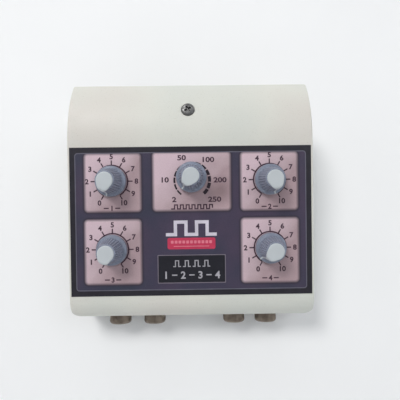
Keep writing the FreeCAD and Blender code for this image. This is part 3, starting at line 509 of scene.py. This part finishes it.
def text_mesh(text, size, bold):
    """The outline of a short figure as a flat mesh."""
    curve = bpy.data.curves.new("figure", "FONT")
    curve.body = text
    curve.size = size
    curve.offset = bold
    curve.align_x = "CENTER"
    curve.align_y = "CENTER"
    curve.resolution_u = 3
    holder = bpy.data.objects.new("figure", curve)
    mesh = bpy.data.meshes.new_from_object(holder)
    bpy.data.objects.remove(holder)
    bpy.data.curves.remove(curve)
    return mesh


def lift(made, faces, height):
    """Closes flat faces into a plate of this thickness."""
    lifted = bmesh.ops.extrude_face_region(made, geom=faces)["geom"]
    corners = [item for item in lifted if isinstance(item, bmesh.types.BMVert)]
    bmesh.ops.translate(made, verts=corners, vec=(0, 0, height))


def add_prism(made, outer, holes, low, high):
    """Adds a flat closed plate between two heights, with holes through it."""
    edges = []
    for loop in (outer, *holes):
        ring = [made.verts.new((x, y, low)) for x, y in loop]
        for i, vertex in enumerate(ring):
            edges.append(made.edges.new((vertex, ring[(i + 1) % len(ring)])))
    faces = bmesh.ops.triangle_fill(made, edges=edges, use_beauty=True)["geom"]
    lift(made, [item for item in faces if isinstance(item, bmesh.types.BMFace)], high - low)


class Print:
    """One ink's layer on the label, gathered as a single mesh; level counts the inks up to it."""

    def __init__(self, name, ink_name, level):
        self.name = name
        self.ink = ink_name
        self.low = (level - 1) * LAYER
        self.high = level * LAYER
        self.made = bmesh.new()

    def shape(self, outer, holes=()):
        add_prism(self.made, outer, holes, self.low, self.high)

    def bar(self, start, end, width):
        """A thin rectangle along a line."""
        line = Vector(end) - Vector(start)
        side = Vector((-line.y, line.x)).normalized() * width / 2
        corners = [Vector(start) - side, Vector(end) - side, Vector(end) + side, Vector(start) + side]
        self.shape([tuple(corner) for corner in corners])

    def text(self, text, x, y, size, bold, stretch=1.0):
        """A figure whose outline is centred at x, y."""
        outline = text_mesh(text, size, bold)
        letters = bmesh.new()
        letters.from_mesh(outline)
        across = [vertex.co.x for vertex in letters.verts]
        upward = [vertex.co.y for vertex in letters.verts]
        middle_x = (min(across) + max(across)) / 2
        middle_y = (min(upward) + max(upward)) / 2
        for vertex in letters.verts:
            place = (x + (vertex.co.x - middle_x) * stretch, y + vertex.co.y - middle_y, self.low)
            vertex.co = Vector(place)
        bmesh.ops.remove_doubles(letters, verts=letters.verts, dist=WELD)
        lift(letters, list(letters.faces), self.high - self.low)
        letters.to_mesh(outline)
        letters.free()
        self.made.from_mesh(outline)
        bpy.data.meshes.remove(outline)

    def finish(self):
        new_piece(self.name, mesh_from(self.name, self.made), INKS[self.ink], "case", PANEL)


# ---- the printed label ----

LAYER = 0.03 * MM
ON_FILM, ON_BORDER, ON_FIELD, TOPMOST = 1, 2, 3, 4
WELD = 1e-6
BUSH_HOLE = 6.4 * MM
FIELD_HALF = (LABEL_WIDTH / 2 - 3.9 * MM, LABEL_DEPTH / 2 - 4.1 * MM)
FIELD_CORNER = 2.3 * MM
OUTLINE_WIDTH = 0.7 * MM
OUTLINE_INNER_CORNER = 1.7 * MM
LABEL_CORNER = 0.8 * MM
WINDOW_CORNER = 2.6 * MM
PATCH_CORNER = 0.5 * MM
HALO = 2.6 * MM
WINDOW_TOP = LABEL_DEPTH / 2 - 4.2 * MM

# Each window's centre and half size in mm, from the label's centre, and the strength of its painted shadow.
WINDOWS = {
    "ch1": ((-58.8, 29.5), (21.1, 21.8), 0.06),
    "frequency": ((0.8, 29.9), (29.2, 22.0), 0.5),
    "ch2": ((59.3, 29.5), (21.4, 21.8), 0.1),
    "ch3": ((-59.1, -22.8), (21.2, 24.3), 0.1),
    "ch4": ((59.5, -22.8), (21.6, 24.3), 0.04),
}
spots = {channel: dial_spot(channel) for channel in CHANNELS}
dial_holes = {channel: circle(*spot, BUSH_HOLE) for channel, spot in spots.items()}


def print_ground():
    border = Print("print_border", "border", ON_FILM)
    border.shape(rounded(0, 0, LABEL_WIDTH / 2, LABEL_DEPTH / 2, LABEL_CORNER), dial_holes.values())
    border.finish()
    field = Print("print_field", "field", ON_BORDER)
    field.shape(rounded(0, 0, *FIELD_HALF, FIELD_CORNER), dial_holes.values())
    field.finish()
    for channel, window in WINDOWS.items():
        print_window(channel, *window)
    line = Print("print_outline", "line", TOPMOST)
    inner_half = [half - OUTLINE_WIDTH for half in FIELD_HALF]
    inner = rounded(0, 0, *inner_half, OUTLINE_INNER_CORNER)
    line.shape(rounded(0, 0, *FIELD_HALF, FIELD_CORNER), [inner])
    line.finish()


def print_window(channel, centre, half, shadow):
    """A window's patch, which reaches past the window by its halo but stays in the field."""
    centre = Vector(centre) * MM
    half = Vector(half) * MM
    low = -half - Vector((HALO, HALO))
    high = half + Vector((HALO, HALO))
    high.y = min(high.y, WINDOW_TOP - centre.y)
    middle, size = (low + high) / 2, (high - low) / 2
    INKS["window_" + channel] = window_ink("window_pink_" + channel, low, high, half, WINDOW_CORNER, shadow)
    window = Print("print_window_" + channel, "window_" + channel, ON_FIELD)
    window.shape(rounded(*(centre + middle), *size, PATCH_CORNER), [dial_holes[channel]])
    window.finish()


DIAL_RING = 12.1 * MM
DIAL_RING_WIDTH = 1.0 * MM
DIAL_TICKS = (12.5 * MM, 15.8 * MM)
TICK_WIDTH = 0.95 * MM
DIAL_FIGURES = 18.7 * MM
FIGURE_SIZE = 5.3 * MM
DIAL_START = -150
DIAL_STEP = 30
CAPTION_SIZE = 5.2 * MM
CAPTION_DASH = (2.4 * MM, 6.2 * MM)
CAPTION_WEIGHT = 0.9 * MM
UPPER_CAPTION = 20.3 * MM
LOWER_CAPTION = 23.0 * MM


def print_dial(channel, number, caption_drop):
    """Eleven ticks with figures 0 to 10, a thin ring and the channel's number."""
    u, v = spots[channel]
    marks = Print("print_dial_" + channel, "figures", TOPMOST)
    marks.shape(arc_band(u, v, DIAL_RING, DIAL_START, -DIAL_START, DIAL_RING_WIDTH, 72))
    for step in range(11):
        clockwise = math.radians(DIAL_START + DIAL_STEP * step)
        along = Vector((math.sin(clockwise), math.cos(clockwise)))
        near, far = [Vector((u, v)) + along * radius for radius in DIAL_TICKS]
        marks.bar(near, far, TICK_WIDTH)
        figure = Vector((u, v)) + along * DIAL_FIGURES
        marks.text(str(step), figure.x, figure.y, FIGURE_SIZE, 0.19 * MM, 1.05)
    low = v - caption_drop
    marks.text(str(number), u, low, CAPTION_SIZE, 0.2 * MM)
    for side in (-1, 1):
        near, far = [(u + side * reached, low) for reached in CAPTION_DASH]
        marks.bar(near, far, CAPTION_WEIGHT)
    marks.finish()


SCALE_RADIUS = 13.3 * MM
SCALE_START = -142
SCALE_SEGMENTS = 13
SCALE_GAP = 3.5
SCALE_AWAY = 0.4 * MM
# Each rate's place in mm from the scale's centre.
RATES = {"2": (-13.6, -14.3), "10": (-20.2, 0.6), "50": (-7.6, 17.2), "100": (12.6, 15.6),
         "200": (21.2, 0.2), "250": (17.0, -14.4)}


def print_frequency():
    """A segmented scale that thickens clockwise, its rates in figures, and a pulse-train symbol."""
    u, v = spots["frequency"][0] + SCALE_AWAY, spots["ch1"][1]
    scale = Print("print_scale_frequency", "segments", TOPMOST)
    step = -2 * SCALE_START / SCALE_SEGMENTS
    for i in range(SCALE_SEGMENTS):
        start = SCALE_START + step * i
        width = (1.2 + 1.5 * i / SCALE_SEGMENTS) * MM
        scale.shape(arc_band(u, v, SCALE_RADIUS, start, start + step - SCALE_GAP, width, 8))
    scale.finish()
    figures = Print("print_rates_frequency", "figures", TOPMOST)
    for rate, (x, y) in RATES.items():
        figures.text(rate, u + x * MM, v + y * MM, FIGURE_SIZE, 0.17 * MM, 1.25)
    print_pulses(figures, u - 15.6 * MM, v - 21.4 * MM)
    figures.finish()


def print_pulses(figures, left, base):
    """A row of seven square pulses starting at left, base."""
    pitch, rise, weight = 4.4 * MM, 3.0 * MM, 0.95 * MM
    joint = weight / 2
    for i in range(7):
        start = left + i * pitch
        half_way, end = start + pitch / 2, start + pitch
        figures.bar((start - joint, base), (half_way + joint, base), weight)
        figures.bar((half_way - joint, base + rise), (end + joint, base + rise), weight)
        for x in (half_way, end):
            figures.bar((x, base + joint), (x, base + rise - joint), weight)


def print_mark():
    """Two bold square pulses in white, above the red band."""
    mark = Print("print_pulse_mark", "white", ON_FIELD)
    base, top, weight = -10.2 * MM, -0.8 * MM, 2.5 * MM
    corners = [(-18, base), (-12, base), (-12, top), (-4, top), (-4, base), (4, base),
               (4, top), (12, top), (12, base), (18, base)]
    for (x, y), (far_x, far_y) in zip(corners, corners[1:]):
        spread = weight / 2 if y == far_y else -weight / 2
        line = Vector((far_x * MM - x * MM, far_y - y)).normalized() * spread
        mark.bar(Vector((x * MM, y)) - line, Vector((far_x * MM, far_y)) + line, weight)
    mark.finish()


def print_band():
    """A red band with a row of pale dashes over a thin line."""
    level, dash_level, line_level, pitch = -17 * MM, -15.9 * MM, -19.1 * MM, 2.9 * MM
    band = Print("print_red_band", "red", ON_FIELD)
    band.shape(rounded(0, level, 18.1 * MM, 4.3 * MM, 1.4 * MM))
    band.finish()
    dashes = Print("print_band_dashes", "pale_red", TOPMOST)
    for i in range(11):
        dashes.shape(rounded((i - 5) * pitch, dash_level, 1.05 * MM, 1.1 * MM, 0.4 * MM, 3))
    dashes.shape(rounded(0, line_level, 13.5 * MM, 0.3 * MM, 0.25 * MM, 3))
    dashes.finish()


PLAQUE_LEVEL = -36.3 * MM
PLAQUE_HALF = (25.8 * MM, 10.8 * MM)
PLAQUE_CORNER = 0.7 * MM
PLAQUE_RIM = 0.6 * MM
PLAQUE_RIM_CORNER = 0.4 * MM
PLAQUE_PULSES = (-34.4 * MM, 7.4 * MM)
PLAQUE_FIGURES = (-40.9 * MM, 13 * MM)
PLAQUE_DASH = 2 * MM


def print_plaque():
    """A black plaque with a thin rim, four pulses and the channels' numbers."""
    plaque = Print("print_plaque", "plaque", ON_FIELD)
    plaque.shape(rounded(0, PLAQUE_LEVEL, *PLAQUE_HALF, PLAQUE_CORNER))
    plaque.finish()
    rim = Print("print_plaque_line", "plaque_line", TOPMOST)
    inner_half = [half - PLAQUE_RIM for half in PLAQUE_HALF]
    inner = rounded(0, PLAQUE_LEVEL, *inner_half, PLAQUE_RIM_CORNER)
    rim.shape(rounded(0, PLAQUE_LEVEL, *PLAQUE_HALF, PLAQUE_CORNER), [inner])
    rim.finish()
    marks = Print("print_plaque_marks", "plaque_figures", TOPMOST)
    base, pulse_pitch = PLAQUE_PULSES
    level, pitch = PLAQUE_FIGURES
    for i, number in enumerate("1234"):
        plaque_pulse(marks, (i - 1.5) * pulse_pitch, base)
        marks.text(number, (i - 1.5) * pitch, level, 7.6 * MM, 0.2 * MM)
        if i:
            gap = (i - 2) * pitch
            marks.bar((gap - PLAQUE_DASH, level), (gap + PLAQUE_DASH, level), 0.9 * MM)
    marks.finish()


def plaque_pulse(marks, x, base):
    """One pulse on its base line, centred at x."""
    rise, weight = 4.4 * MM, 0.75 * MM
    foot, edge = 2.9 * MM, 1.2 * MM
    top, joint = base + rise, weight / 2
    marks.bar((x - foot, base), (x - edge + joint, base), weight)
    marks.bar((x - edge, base), (x - edge, top), weight)
    marks.bar((x - edge - joint, top), (x + edge + joint, top), weight)
    marks.bar((x + edge, base), (x + edge, top), weight)
    marks.bar((x + edge - joint, base), (x + foot, base), weight)


print_ground()
print_dial("ch1", 1, UPPER_CAPTION)
print_dial("ch2", 2, UPPER_CAPTION)
print_dial("ch3", 3, LOWER_CAPTION)
print_dial("ch4", 4, LOWER_CAPTION)
print_frequency()
print_mark()
print_band()
print_plaque()


# ---- turned pieces ----

def revolve(made, profile, segments, dent=None):
    """Adds a closed ring or solid turned from (radius, height) points; dent takes radius off by angle."""
    rings = []
    for radius, height in profile:
        if radius < 1e-9:
            rings.append([made.verts.new((0, 0, height))])
            continue
        ring = []
        for i in range(segments):
            angle = 2 * math.pi * i / segments
            here = radius - (dent(radius, height, angle) if dent else 0)
            ring.append(made.verts.new((here * math.cos(angle), here * math.sin(angle), height)))
        rings.append(ring)
    pairs = list(zip(rings, rings[1:]))
    if len(rings[0]) > 1 and len(rings[-1]) > 1:
        pairs.append((rings[-1], rings[0]))
    for low, high in pairs:
        join_rings(made, low, high)


def join_rings(made, low, high):
    """Faces between two rings of vertices, either of which may be a single point."""
    count = max(len(low), len(high))
    for i in range(count):
        j = (i + 1) % count
        corners = [low[i % len(low)], low[j % len(low)], high[j % len(high)], high[i % len(high)]]
        made.faces.new(list(dict.fromkeys(corners)))


def arc_points(centre_r, centre_z, radius, start, end, steps):
    """Points on a profile's arc, between two angles in degrees."""
    points = []
    for i in range(steps + 1):
        angle = math.radians(start + (end - start) * i / steps)
        points.append((centre_r + radius * math.cos(angle), centre_z + radius * math.sin(angle)))
    return points


# ---- knobs ----

KNOB_TOP = 6.9 * MM
KNOB_FOOT = 9.6 * MM
KNOB_SHOULDER = 1.1 * MM
SKIRT_HEIGHT = 3.4 * MM
SKIRT_ROUND = 1.1 * MM
SKIRT_EDGE = 0.35 * MM
HOLLOW = 7.6 * MM
HOLLOW_HEIGHT = 3.6 * MM
FLUTES = 28
FLUTE_DEPTH = 0.62 * MM
FLUTE_START = SKIRT_HEIGHT + 0.4 * MM
CAP_RADIUS = 5.9 * MM
CAP_SHARE = 0.82
POINTER_TIP = 14.2 * MM
INDEX_LENGTH = 7 * MM


def off_axis(point, centre):
    """The part of the way from centre to a point that lies across the panel's normal."""
    away = point - centre
    return away - OUT * away.dot(OUT)


def knob_matrix(channel):
    """The knob's own frame: local +Z out of the panel, local +X at its pointer."""
    foot = Vector(joints[channel + "_turn"]["pos_m"])
    centre = foot + OUT * (reach("knob_" + channel, OUT)[0] - foot.dot(OUT))
    cap = frame["nodes"]["pointer_cap_" + channel].data
    corners = [off_axis(vertex.co, centre) for vertex in cap.vertices]
    far = max(corner.length for corner in corners)
    forward = sum((corner for corner in corners if corner.length > far - 0.05 * MM), Vector()).normalized()
    return axes_matrix(forward, OUT.cross(forward), OUT, centre)


def cone_radius(z, lean):
    """The knob's radius above its skirt, where the body tapers."""
    return KNOB_FOOT - (z - SKIRT_HEIGHT) * math.tan(lean)


def knob_profile(skirt, height, lean):
    """Up the hollow, round the skirt and up the cone, as (radius, height) points."""
    profile = [(0, HOLLOW_HEIGHT), (HOLLOW - 0.3 * MM, HOLLOW_HEIGHT), (HOLLOW, HOLLOW_HEIGHT - 0.3 * MM),
               (HOLLOW, 0.25 * MM), (HOLLOW + 0.25 * MM, 0)]
    profile += arc_points(skirt - SKIRT_EDGE, SKIRT_EDGE, SKIRT_EDGE, -90, 0, 4)
    profile += arc_points(skirt - SKIRT_ROUND, SKIRT_HEIGHT - SKIRT_ROUND, SKIRT_ROUND, 0, 80, 7)
    profile += [(KNOB_FOOT + 0.35 * MM, SKIRT_HEIGHT + 0.02 * MM),
                (KNOB_FOOT + 0.08 * MM, SKIRT_HEIGHT + 0.25 * MM)]
    low, top, rows = SKIRT_HEIGHT + 0.6 * MM, height - KNOB_SHOULDER, 16
    for i in range(rows + 1):
        z = low + (top - low) * i / rows
        profile.append((cone_radius(z, lean), z))
    profile += arc_points(cone_radius(top, lean) - KNOB_SHOULDER, top, KNOB_SHOULDER, 8, 90, 7)
    return profile + [(CAP_RADIUS * 0.9, height), (0, height)]


def knob_body(channel, place, skirt, height, lean):
    def flute(radius, z, angle):
        if z < FLUTE_START or radius < KNOB_TOP - 1.6 * MM or radius > KNOB_FOOT + 0.1 * MM:
            return 0.0
        rise = min(1.0, (z - FLUTE_START) / (0.8 * MM))
        fade = min(1.0, max(0.0, (height - z) / (1.4 * MM)))
        wave = (0.5 + 0.5 * math.cos(FLUTES * angle)) ** 1.4
        return FLUTE_DEPTH * wave * rise * fade

    made = bmesh.new()
    revolve(made, knob_profile(skirt, height, lean), FLUTES * 9, flute)
    body = new_piece("knob_body_" + channel, mesh_from("knob_body", made), MATERIALS["knob_plastic"],
                     channel + "_knob", place, smooth=True)
    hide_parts("knob_" + channel)


def cap_outline(angle):
    """The cap's reach at an angle, measured over its surface: a disc drawn out to the pointer's tip."""
    tangent = math.acos(CAP_RADIUS / POINTER_TIP)
    turn = abs((angle + math.pi) % (2 * math.pi) - math.pi)
    if turn >= tangent:
        return CAP_RADIUS
    return min(CAP_RADIUS / math.cos(tangent - turn), POINTER_TIP - 0.25 * MM)


def fold_over(distance, lifted, height, lean):
    """Radius and height of a point this far from the cap's middle, over the knob's shoulder and down."""
    bend = 0.9 * MM
    flat = KNOB_TOP + 0.25 * MM - bend
    level = height + lifted
    if distance <= flat:
        return distance, level
    radius = bend + lifted
    sweep = math.pi / 2 - lean
    over = distance - flat
    angle = min(over / radius, sweep)
    rest = max(0.0, over - radius * sweep)
    return (flat + radius * math.sin(angle) + rest * math.sin(lean),
            level - radius * (1 - math.cos(angle)) - rest * math.cos(lean))


def cap_surface(made, height, lean, lift_of):
    """Adds one face of the cap and returns its rim; lift_of gives its lift by share of the reach."""
    sectors, rings = 120, 22
    grid = [[made.verts.new((0, 0, height + lift_of(0)))]]
    for k in range(1, rings + 1):
        ring = []
        for i in range(sectors):
            angle = 2 * math.pi * i / sectors
            radius, level = fold_over(cap_outline(angle) * k / rings, lift_of(k / rings), height, lean)
            ring.append(made.verts.new((radius * math.cos(angle), radius * math.sin(angle), level)))
        grid.append(ring)
    for low, high in zip(grid, grid[1:]):
        join_rings(made, low, high)
    return grid[-1]


def pointer_cap(channel, place, height, thick, lean):
    """The pale cap: a disc drawn out into a pointer that folds down over the cone's side."""
    def domed(share):
        """The top face: nearly flat, rolling over at its rim."""
        roll = max(0.0, (share - 0.86) / 0.14)
        return thick * (0.35 + 0.65 * math.sqrt(max(0.0, 1 - roll ** 2)))

    made = bmesh.new()
    upper = cap_surface(made, height, lean, domed)
    lower = cap_surface(made, height, lean, lambda share: -0.12 * MM)
    join_rings(made, upper, lower)
    cap = new_piece("pointer_" + channel, mesh_from("pointer", made), MATERIALS["cap_plastic"],
                    channel + "_knob", place, smooth=True)
    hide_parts("pointer_cap_" + channel)


def index_line(channel, place, height, lean, skirt):
    """A thin pale line that runs on from the pointer, down the cone and across the skirt."""
    half, steps = 0.55 * MM, 6
    top, foot = height - INDEX_LENGTH, SKIRT_HEIGHT + 0.5 * MM
    path = []
    for i in range(steps + 1):
        z = top + (foot - top) * i / steps
        path.append((cone_radius(z, lean), z))
    path.append((KNOB_FOOT + 0.4 * MM, SKIRT_HEIGHT + 0.1 * MM))
    path += arc_points(skirt - SKIRT_ROUND, SKIRT_HEIGHT - SKIRT_ROUND, SKIRT_ROUND + 0.02 * MM, 80, 20, 5)
    made = bmesh.new()
    rows = []
    for radius, z in path:
        rows.append([made.verts.new((radius + push * 0.08 * MM, side * half, z + push * 0.06 * MM))
                     for side, push in ((-1, -3), (-1, 1), (1, 1), (1, -3))])
    for first, second in zip(rows, rows[1:]):
        join_rings(made, first, second)
    for row in (rows[0], rows[-1]):
        made.faces.new(row)
    new_piece("pointer_line_" + channel, mesh_from("line", made), MATERIALS["cap_plastic"],
              channel + "_knob", place)


def build_knobs():
    for channel in CHANNELS:
        place = knob_matrix(channel)
        low, high = reach("knob_" + channel, OUT)
        height = high - low
        skirt = max(off_axis(vertex.co, place.translation).length
                    for vertex in frame["nodes"]["knob_" + channel].data.vertices)
        lean = math.atan2(KNOB_FOOT - KNOB_TOP, height - SKIRT_HEIGHT)
        thick = (reach("pointer_cap_" + channel, OUT)[1] - high) * CAP_SHARE
        knob_body(channel, place, skirt, height, lean)
        pointer_cap(channel, place, height, thick, lean)
        index_line(channel, place, height, lean, skirt)


build_knobs()


# ---- output collars ----

COLLAR_BORE = 5.62 * MM
COLLAR_ROUND = 2.6 * MM
KNURLS = 44
KNURL_DEPTH = 0.16 * MM
KNURLED = (0.25, 0.55)


def build_collars():
    """Four plated collars with rolled rims and a fine knurl."""
    bores = [mount for mount in frame["record"]["mounts"] if mount["name"].startswith("output_")]
    low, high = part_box("jack_ferrules")
    length = high.y - low.y
    radius = (high.z - low.z) / 2
    profile = [(COLLAR_BORE, 0), (radius - 0.3 * MM, 0), (radius, 0.3 * MM)]
    profile += [(radius, length * share) for share in (0.2, 0.35, 0.5, 0.6)]
    profile += arc_points(radius - COLLAR_ROUND, length - COLLAR_ROUND, COLLAR_ROUND, 4, 86, 9)
    profile += [(COLLAR_BORE + 0.45 * MM, length), (COLLAR_BORE, length - 0.45 * MM)]

    def knurl(ring_radius, z, angle):
        if ring_radius < radius - 0.02 * MM or not KNURLED[0] * length <= z <= KNURLED[1] * length:
            return 0.0
        return KNURL_DEPTH * (0.5 + 0.5 * math.cos(KNURLS * angle))

    made = bmesh.new()
    for bore in bores:
        ring = bmesh.new()
        revolve(ring, profile, KNURLS * 4, knurl)
        spot = Vector((bore["pos_m"][0], high.y, bore["pos_m"][2]))
        bmesh.ops.transform(ring, matrix=Matrix.Translation(spot) @ Matrix.Rotation(math.pi / 2, 4, "X"),
                            verts=ring.verts)
        mesh = bpy.data.meshes.new("ring")
        ring.to_mesh(mesh)
        ring.free()
        made.from_mesh(mesh)
        bpy.data.meshes.remove(mesh)
    # The collars' brown-grey colour is painted shade and painted reflection.
    collars = new_piece("collar_rings", mesh_from("collars", made), MATERIALS["aged_nickel"],
                        "case", smooth=True)
    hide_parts("jack_ferrules")


build_collars()


# ---- top screw ----

SCREW_HEAD = 2.2 * MM
SCREW_SHANK = 1.5 * MM
SCREW_POINT = 1 * MM
SCREW_TURN = 0.5


def cross_recess(x, y, radius):
    """How deep the cross is cut at a point on the head."""
    arm, web = radius * 0.56, radius * 0.13
    inside = 0.0
    for along, across in ((abs(x), abs(y)), (abs(y), abs(x))):
        side = max(0.0, min(1.0, (web - across) / (0.25 * MM) + 0.5))
        end = max(0.0, min(1.0, (arm - along) / (0.9 * MM)))
        inside = max(inside, side * end)
    return SCREW_HEAD * 0.85 * inside


def build_screw():
    """A pan-head screw with a domed head and a tapered cross recess."""
    low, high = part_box("top_screw")
    radius = (high.x - low.x) / 2
    seat = high.z - SCREW_HEAD
    made = bmesh.new()
    rings, sectors = 40, 144
    grid = [[made.verts.new((0, 0, high.z - cross_recess(0, 0, radius)))]]
    for k in range(1, rings + 1):
        share = k / rings
        crown = SCREW_HEAD * (0.5 + 0.5 * math.sqrt(max(0.0, 1 - share ** 4)))
        ring = []
        for i in range(sectors):
            angle = 2 * math.pi * i / sectors
            x, y = radius * share * math.cos(angle), radius * share * math.sin(angle)
            ring.append(made.verts.new((x, y, seat + crown - cross_recess(x, y, radius))))
        grid.append(ring)
    edge, thin = grid[-1], SCREW_SHANK / radius
    for wide, level in ((1, seat), (thin, seat), (thin, low.z + SCREW_POINT)):
        grid.append([made.verts.new((corner.co.x * wide, corner.co.y * wide, level)) for corner in edge])
    grid.append([made.verts.new((0, 0, low.z))])
    for first, second in zip(grid, grid[1:]):
        join_rings(made, first, second)
    centre = ((low.x + high.x) / 2, (low.y + high.y) / 2, 0)
    place = Matrix.Translation(centre) @ Matrix.Rotation(SCREW_TURN, 4, "Z")
    screw = new_piece("cover_screw", mesh_from("screw", made), MATERIALS["dark_steel"],
                      "case", place, smooth=True)
    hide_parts("top_screw")


build_screw()


# ---- studio ----

FLOOR_FLAT = 1.6
FLOOR_SWEEP = 0.8
FLOOR_WALL = 2.0
FLOOR_LEVEL = -0.03 * MM


def build_floor():
    """A flat round floor that curves up into a low wall on every side."""
    profile = [(0, FLOOR_LEVEL), (FLOOR_FLAT, FLOOR_LEVEL)]
    profile += arc_points(FLOOR_FLAT, FLOOR_LEVEL + FLOOR_SWEEP, FLOOR_SWEEP, -90, 0, 20)[1:]
    profile.append((FLOOR_FLAT + FLOOR_SWEEP, FLOOR_WALL))
    made = bmesh.new()
    revolve(made, profile, 96)
    bmesh.ops.reverse_faces(made, faces=made.faces)
    mesh = bpy.data.meshes.new("floor")
    made.to_mesh(mesh)
    made.free()
    floor = bpy.data.objects.new("floor", mesh)
    bpy.context.scene.collection.objects.link(floor)
    mesh.materials.append(floor_paint())
    for polygon in mesh.polygons:
        polygon.use_smooth = True


def area_light(name, spot, size, power, tint):
    """A round soft light that faces the object."""
    data = bpy.data.lights.new(name, "AREA")
    data.shape = "DISK"
    data.size = size
    data.energy = power
    data.color = tint
    light = bpy.data.objects.new(name, data)
    bpy.context.scene.collection.objects.link(light)
    light.visible_camera = False
    light.location = spot
    aim = Vector((0, 0, 0.05))
    light.rotation_euler = (aim - Vector(spot)).to_track_quat("-Z", "Y").to_euler()


def build_light():
    area_light("key", (-1.0, 1.2, 2.2), 0.9, 31, (1.0, 0.985, 0.965))
    area_light("fill", (1.4, 0.7, 2.2), 1.6, 11, (0.96, 0.98, 1.0))
    world = bpy.data.worlds.new("studio")
    world.use_nodes = True
    tree = world.node_tree
    sky = tree.nodes["Background"]
    split = tree.nodes.new("ShaderNodeSeparateXYZ")
    fade = tree.nodes.new("ShaderNodeValToRGB")
    for element, position, colour in zip(fade.color_ramp.elements, (0.0, 0.75),
                                         ((0.5, 0.51, 0.53, 1), (0.95, 0.97, 1.0, 1))):
        element.position = position
        element.color = colour
    tree.links.new(tree.nodes.new("ShaderNodeTexCoord").outputs["Generated"], split.inputs["Vector"])
    tree.links.new(split.outputs["Z"], fade.inputs["Fac"])
    tree.links.new(fade.outputs["Color"], sky.inputs["Color"])
    sky.inputs["Strength"].default_value = 0.3
    bpy.context.scene.world = world


def build_camera():
    """Above the panel and a little to the front, close enough for strong perspective."""
    data = bpy.data.cameras.new("camera")
    data.sensor_width = 36
    data.lens = 29.66
    data.clip_start = 0.01
    camera = bpy.data.objects.new("camera", data)
    bpy.context.scene.collection.objects.link(camera)
    camera.location = (5.39 * MM, -52.54 * MM, 304.54 * MM)
    camera.rotation_euler = [math.radians(turn) for turn in (11.432, -0.186, -0.801)]
    bpy.context.scene.camera = camera


build_floor()
build_light()
build_camera()

bpy.context.scene.view_settings.view_transform = "Standard"
bpy.context.view_layer.update()
